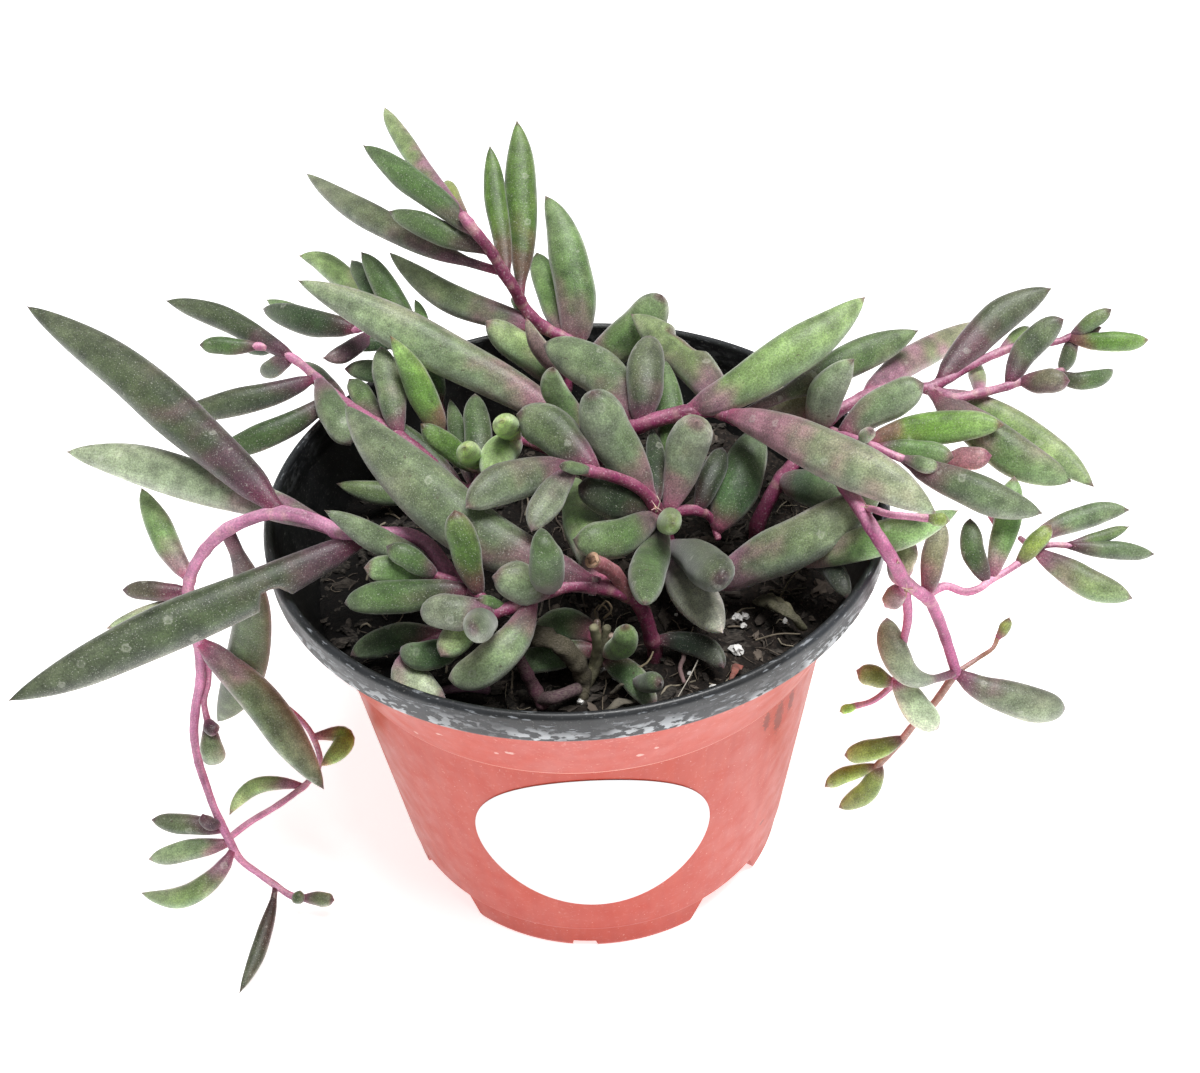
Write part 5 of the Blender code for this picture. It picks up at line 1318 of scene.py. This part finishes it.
def soilHeight(x, y):
    place = Vector((x, y, soilBuild["lumpPlace"]))
    lumps = sum(relief * noise.noise(place / size + Vector((size, 0, 0)))
                for relief, size in zip(soilBuild["relief"], soilBuild["sizes"]))
    return soilTop - soilBuild["lower"] + lumps - soilSag * (math.hypot(x, y) / rimRadius) ** 2


def soilEdge():  # the radius at which the soil meets the wall
    section = [(radius, height) for radius, height in potShape() if radius > 0]
    lower, upper = section[2], section[3]
    share = (soilTop - lower[1]) / (upper[1] - lower[1])
    return lower[0] + share * (upper[0] - lower[0]) - soilBuild["wallGap"]


def buildSoil(material):
    edge, rings = soilEdge(), soilBuild["rings"]
    bottom, floor, wall = [(radius, height) for radius, height in potShape() if radius > 0][:3]
    profile = [(0, soilTop)] + [(edge * k / rings, soilTop) for k in range(1, rings + 1)]
    profile += [(wall[0] - 0.3, wall[1]), (floor[0] - 0.3, floor[1]), (bottom[0] - 0.3, bottom[1] + 0.3),
                (0, bottom[1] + 0.3)]
    points, faces = lathe(list(reversed(profile)), soilBuild["steps"])
    points = [(x, y, soilHeight(x, y) if z > soilTop - 0.01 else z) for x, y, z in points]
    makePiece("potting_mix", points, faces, {}, [material], "potting_soil", "soil")


def soilMaterial():
    # Damp peat potting mix: near-black crumbs with brown fibres showing between them, darker towards the left
    # by painted shade
    made, tree = newMaterial("peat_mix", roughness=0.92, ior=1.35)
    crumbs = remap(tree, grain(tree, 0.9, 6), 0.35, 0.7)
    colour = blendColour(tree, crumbs, "#141210", "#302823")
    colour = stain(tree, colour, "#6f665c", 0.4, 0.45, 4, 0.62, 0.72)
    # Painted shade: the mix darkens towards the left of the pot, where shade falls.
    wet, dry = soilBuild["paintedShadeReach"]
    across = addNode(tree, "SeparateXYZ", {0: objectSpace(tree)})[0]
    colour = shade(tree, colour, remap(tree, across, wet * mm, dry * mm, soilBuild["paintedShadeDepth"], 1.0))
    return dress(made, colour, (0.7, 8, 0.6, 1.0))


def chipShape(rng, size, flatness, roundness):  # a small irregular lump, long in its own x direction
    bm = bmesh.new()
    bmesh.ops.create_icosphere(bm, subdivisions=2 if size > 1.6 else 1, radius=1)
    offset = Vector((rng.uniform(0, 99), rng.uniform(0, 99), rng.uniform(0, 99)))
    points = []
    for vert in bm.verts:
        bulge = 1 + roundness * noise.noise(vert.co * 1.4 + offset) + 0.25 * noise.noise(vert.co * 4 + offset)
        points.append(np.array(vert.co) * bulge * [1, flatness[0], flatness[1]] * size / 2)
    faces = [tuple(v.index for v in f.verts) for f in bm.faces]
    bm.free()
    return np.array(points), faces


def scatter(name, count, rng, sizes, flatness, material, tones, sink=0.35, roundness=0.9):
    bodies, edge = [], soilEdge()
    for k in range(count):
        reach, turn = edge * math.sqrt(rng.uniform(0, 0.97)), rng.uniform(0, 2 * math.pi)
        x, y = reach * math.cos(turn), reach * math.sin(turn)
        size = sizes[0] * (sizes[1] / sizes[0]) ** (rng.random() ** 1.7)
        shape, faces = chipShape(rng, size, flatness, roundness)
        spin = Matrix.Rotation(rng.uniform(0, 2 * math.pi), 3, "Z")
        spin = spin @ Matrix.Rotation(rng.gauss(0, 0.35), 3, "X")
        spin = np.array(spin @ Matrix.Rotation(rng.gauss(0, 0.3), 3, "Y"))
        placed = shape @ spin.T + np.array([x, y, soilHeight(x, y) + size * flatness[1] * (0.5 - sink)])
        across = np.hypot(placed[:, 0], placed[:, 1])
        if across.max() > edge:
            placed[:, :2] *= (edge - 0.05) / across.max()
        tone = linear(rng.choice(tones)) * rng.uniform(0.75, 1.25)
        # Painted shade: chips towards the left are darkened like the mix beneath them.
        damp = soilBuild["paintedShadeDepth"]
        tone = tone * (damp + (1 - damp) * smoothStep(*soilBuild["paintedShadeReach"], x))
        bodies.append((placed, faces, {"chipColour": np.tile(tone, (len(placed), 1))}))
    makePiece(name, *joinBodies(bodies), [material], "potting_soil", None, soilBuild["sharpEdge"])


def chipMaterial(name, size, depth, roughness, pale):
    # Pieces in the mix: dry woody or mineral crumbs, matt, with their own grain
    made, tree = newMaterial(name, roughness=roughness, ior=1.4)
    colour = addNode(tree, "Attribute", attribute_name="chipColour")["Color"]
    colour = stain(tree, colour, pale, 0.4, size, 5, 0.35, 0.7, stretch=(1, 3, 3))
    return dress(made, colour, (size, 6, depth, 0.9))


# Litter on the soil and dry bits on the stems. old_stems, threads and shreds: picture spots (column, row,
# mm above the soil), first and last thickness in mm, tone. tufts: picture spot, height, count, reach in mm.
# perlite: column, row, size in mm.

litter = {
    "old_stems": [
        ([(594, 628, 12), (597, 645, 8), (593, 665, 3), (584, 690, 0)], 1.5, 1.5, "#77755a"),
        ([(607, 628, 11), (604, 648, 7), (597, 668, 3), (588, 686, 0)], 1.4, 1.3, "#62614a"),
        ([(541, 699, 1), (556, 697, 2.5), (577, 689, 2)], 2.2, 1.9, "#46303a"),
        ([(516, 652, 9), (524, 668, 7), (533, 686, 3), (543, 704, 0)], 1.9, 2.3, "#4a1f36"),
        ([(444, 690, 2), (465, 688, 3), (487, 690, 2)], 1.3, 1.5, "#54314a"),
        ([(676, 640, 1), (684, 655, 2), (680, 668, 1), (684, 682, 0)], 0.9, 0.7, "#7c6264"),
    ],
    "threads": [
        ([(701, 654, 2), (690, 676, 3), (675, 702, 1)], 0.22, 0.14, "#c9c2b6"),
        ([(618, 656, 4), (624, 664, 5), (636, 668, 5), (648, 662, 5), (653, 652, 6)], 0.5, 0.3, "#86785f"),
        ([(604, 618, 9), (612, 610, 11), (606, 601, 10), (598, 610, 9)], 0.45, 0.3, "#7d6c55"),
        ([(600, 622, 9), (594, 612, 10), (602, 604, 11), (612, 616, 9)], 0.35, 0.25, "#6c5c48"),
        ([(780, 598, 1), (790, 580, 2.5), (803, 566, 2)], 0.4, 0.2, "#6e664f"),
        ([(770, 590, 1), (786, 590, 2.5), (806, 588, 1)], 0.35, 0.2, "#5f594a"),
        ([(762, 570, 1), (782, 576, 3), (792, 560, 2)], 0.3, 0.2, "#7a705c"),
        ([(756, 640, 1), (778, 634, 2), (800, 634, 1)], 0.35, 0.25, "#5f5648"),
        ([(656, 512, 20), (660, 502, 22), (657, 496, 23)], 0.25, 0.12, "#e8dccb"),
    ],
    "shreds": [
        ([(528, 634, 8), (553, 640, 10), (572, 656, 7), (583, 678, 2), (582, 694, 0)], 4.6, 2.6, "#3c3828"),
        ([(762, 600, 2), (776, 604, 4.0), (790, 614, 4), (803, 627, 1.5)], 3.4, 1.6, "#3f402c"),
        ([(770, 594, 2.5), (788, 606, 4.5), (800, 620, 2)], 1.4, 0.7, "#57553f"),
        ([(738, 665, 1), (732, 676, 3), (728, 688, 1)], 1.7, 0.4, "#8a4a42"),
        ([(606, 712, 0), (620, 702, 2), (636, 700, 1)], 1.5, 0.7, "#6c675c"),
        ([(612, 690, 1), (626, 686, 3), (640, 690, 1)], 1.1, 0.5, "#777164"),
    ],
    "tufts": [((656, 509), 86.5, 9, 1.7), ((669, 512), 84.5, 7, 1.5), ((866, 509), 91.5, 7, 1.2),
              ((905, 590), 77.5, 8, 1.5), ((896, 562), 84.5, 4, 0.8)],
    "perlite": [(737, 615, 1.7), (745, 612, 1.5), (737, 651, 2.0), (602, 671, 1.5), (615, 672, 1.5),
                (713, 686, 1.1), (580, 697, 1.2), (690, 668, 1.0), (744, 620, 1.1), (650, 640, 0.9),
                (560, 688, 0.9)],
}

# How the strands are made: flatness, sides, spacing of the rings in mm, raggedness
strands = {"old_stems": (1.0, 12, 0.6, 0.22), "threads": (1.0, 6, 1.0, 0), "shreds": (0.3, 8, 0.6, 0.22)}


def overSoil(points):  # places of picture spots whose heights are counted from the soil
    points = np.array(points, float)
    return sightPoint(points[:, :2], soilTop + points[:, 2])


def strandBody(places, thick, thin, tone, flat, sides, spacing, ragged):
    path = smoothPath(places, spacing)
    radii = np.linspace(thick / 2, thin / 2, len(path))
    if ragged:
        radii = radii * (1 + ragged * noiseOver(path, 0.9))
    path, radii = roundEnds(path, radii)
    grid = sweep(path, radii, sides)
    if flat < 1:
        middle = path[:, None, 2]
        grid[..., 2] = middle + (grid[..., 2] - middle) * flat + 0.9 * noiseOver(grid, 0.5)
    return grid, tubeFaces(grid), {"chipColour": linear(tone) * (1 + 0.7 * noiseOver(grid, 0.8))[..., None]}


def buildLitter(rng, perlite):
    for kind, settings in strands.items():
        rows = [(overSoil(spots), thick, thin, tone) for spots, thick, thin, tone in litter[kind]]
        if kind == "threads":
            rows += looseFibres(rng) + jointTufts(rng)
        made = joinBodies([strandBody(*row, *settings) for row in rows])
        makePiece(kind, *made, [chipMaterial("dry_" + kind, 0.5, 0.15, 0.85, "#8f8578")], "potting_soil")
    bodies = []
    for column, line, size in litter["perlite"]:
        shape, faces = chipShape(rng, size + 0.7, (0.85, 0.8), 0.7)
        place = overSoil([(column, line, 0.4)])[0]
        place[2] = soilHeight(place[0], place[1]) + 0.35 * size
        tones = np.tile(linear(soilBuild["crumbTone"]), (len(shape), 1))
        bodies.append((shape * size / (size + 0.7) + place, faces, {"chipColour": tones}))
    makePiece("perlite_crumbs", *joinBodies(bodies), [perlite], "potting_soil", None, soilBuild["sharpEdge"])


def looseFibres(rng):  # short curved plant fibres lying on the mix
    rows, edge = [], soilEdge()
    for k in range(soilBuild["fibres"]):
        reach, turn = (edge - 3) * math.sqrt(rng.random()), rng.uniform(0, 2 * math.pi)
        x, y, heading = reach * math.cos(turn), reach * math.sin(turn), rng.uniform(0, 2 * math.pi)
        length = 1.5 + 7 * rng.random() ** 2
        places = []
        for step in range(4):
            lift = 0.15 + (0.9 * rng.random() if step in (1, 2) else 0)
            if math.hypot(x, y) > edge - 1:
                x, y = x * 0.9, y * 0.9
            places.append((x, y, soilHeight(x, y) + lift))
            heading += rng.gauss(0, 0.5)
            x, y = x + length / 3 * math.cos(heading), y + length / 3 * math.sin(heading)
        thick = rng.choice((0.14, 0.2, 0.3, 0.45))
        rows.append((np.array(places), thick, thick * 0.6, rng.choice(soilBuild["fibreTones"])))
    return rows


def jointTufts(rng):  # dry scales and root hairs that stand round old joints
    rows = []
    for spot, height, count, reach in litter["tufts"]:
        start = sightPoint([spot], height)[0] - 1.1 * viewForward
        for k in range(count):
            away = np.array([rng.gauss(0, 1), rng.gauss(0, 1), rng.gauss(0, 1)]) - 0.6 * viewForward
            away *= reach * rng.uniform(0.5, 1.0) / np.linalg.norm(away)
            bent = start + away * 0.6 + np.array([0, 0, 0.2])
            places = np.array([start - away * 0.3, bent, start + away])
            rows.append((places, 0.28, 0.12, rng.choice(soilBuild["tuftTones"])))
    return rows


# Floor, light and camera: a lamp is its place, what it points at, its size in metres and its power in watts

studio = {
    "world": 0.27, "floorGlow": 0.72, "floorColour": (0.92, 0.92, 0.92, 1),
    "floorRadius": 3, "floorSteps": 96,
    "lamps": {"key": ((0.16, -0.14, 0.96), (0, 0, 0.05), 0.45, 11.0)},
    "sensorWidth": 36.0, "clip": (0.01, 20),
}


def buildStudio():
    steps, reach = studio["floorSteps"], studio["floorRadius"]
    turns = [2 * math.pi * k / steps for k in range(steps)]
    points = [(0, 0, 0)] + [(reach * math.cos(turn), reach * math.sin(turn), 0) for turn in turns]
    mesh = bpy.data.meshes.new("studio_floor")
    mesh.from_pydata(points, [], [(0, k + 1, (k + 1) % steps + 1) for k in range(steps)])
    floor = bpy.data.objects.new("studio_floor", mesh)
    bpy.context.scene.collection.objects.link(floor)
    # Matt white background board, whose own glow keeps it as bright as a lit studio ground
    white, tree = newMaterial("lit_white_sweep", roughness=0.9, colour=studio["floorColour"])
    shader = tree.nodes["Principled BSDF"]
    shader.inputs["Emission Color"].default_value = (1, 1, 1, 1)
    shader.inputs["Emission Strength"].default_value = studio["floorGlow"]
    mesh.materials.append(white)
    world = bpy.data.worlds.new("studio")
    world.use_nodes = True
    world.node_tree.nodes["Background"].inputs["Color"].default_value = (1, 1, 1, 1)
    world.node_tree.nodes["Background"].inputs["Strength"].default_value = studio["world"]
    bpy.context.scene.world = world
    for name, (place, aim, size, power) in studio["lamps"].items():
        lamp = bpy.data.lights.new(name, "AREA")
        lamp.shape = "DISK"
        lamp.size = size
        lamp.energy = power
        item = bpy.data.objects.new(name, lamp)
        item.location = place
        item.rotation_euler = (Vector(aim) - Vector(place)).to_track_quat("-Z", "Y").to_euler()
        bpy.context.scene.collection.objects.link(item)


def placeCamera():
    lens = bpy.data.cameras.new("camera")
    lens.sensor_width = studio["sensorWidth"]
    lens.lens = viewFocal / viewWidth * studio["sensorWidth"]
    lens.clip_start, lens.clip_end = studio["clip"]
    camera = bpy.data.objects.new("camera", lens)
    turn = Matrix((viewRight, viewUp, -viewForward)).transposed().to_4x4()
    camera.matrix_world = Matrix.Translation(potAxis + Vector(viewPlace) * mm) @ turn
    bpy.context.scene.collection.objects.link(camera)
    bpy.context.scene.camera = camera


# Making

placeCamera()
buildStudio()
seatLeaves(plants)
settle(plants)
print("leaves seated and settled")
leafMaterial, stemMaterial = leafSkin(), stemSkin()
for number, (name, (stems, leaves)) in enumerate(plants.items()):
    buildStems(name, stems, leaves, stemMaterial)
    buildLeaves(name, leaves, leafMaterial, np.random.default_rng(7 + number))
print("plant built")
buildPot(blackPlastic(), terracottaPlastic())
buildSticker(stickerPaper())
print("pot and sticker built")
buildSoil(soilMaterial())
rng = random.Random(11)
scatter("bark_chips", soilBuild["chips"], rng, (0.8, 4.2), (0.5, 0.35),
        chipMaterial("bark_and_peat", 0.8, 0.15, 0.9, "#6f675e"), soilBuild["chipTones"])
perlite = chipMaterial("perlite", 0.5, 0.1, 0.8, "#ffffff")
scatter("perlite_grains", soilBuild["perlite"], rng, (0.7, 1.8), (0.85, 0.8), perlite,
        soilBuild["grainTones"], sink=0.2, roundness=0.6)
buildLitter(rng, perlite)
print("soil built")
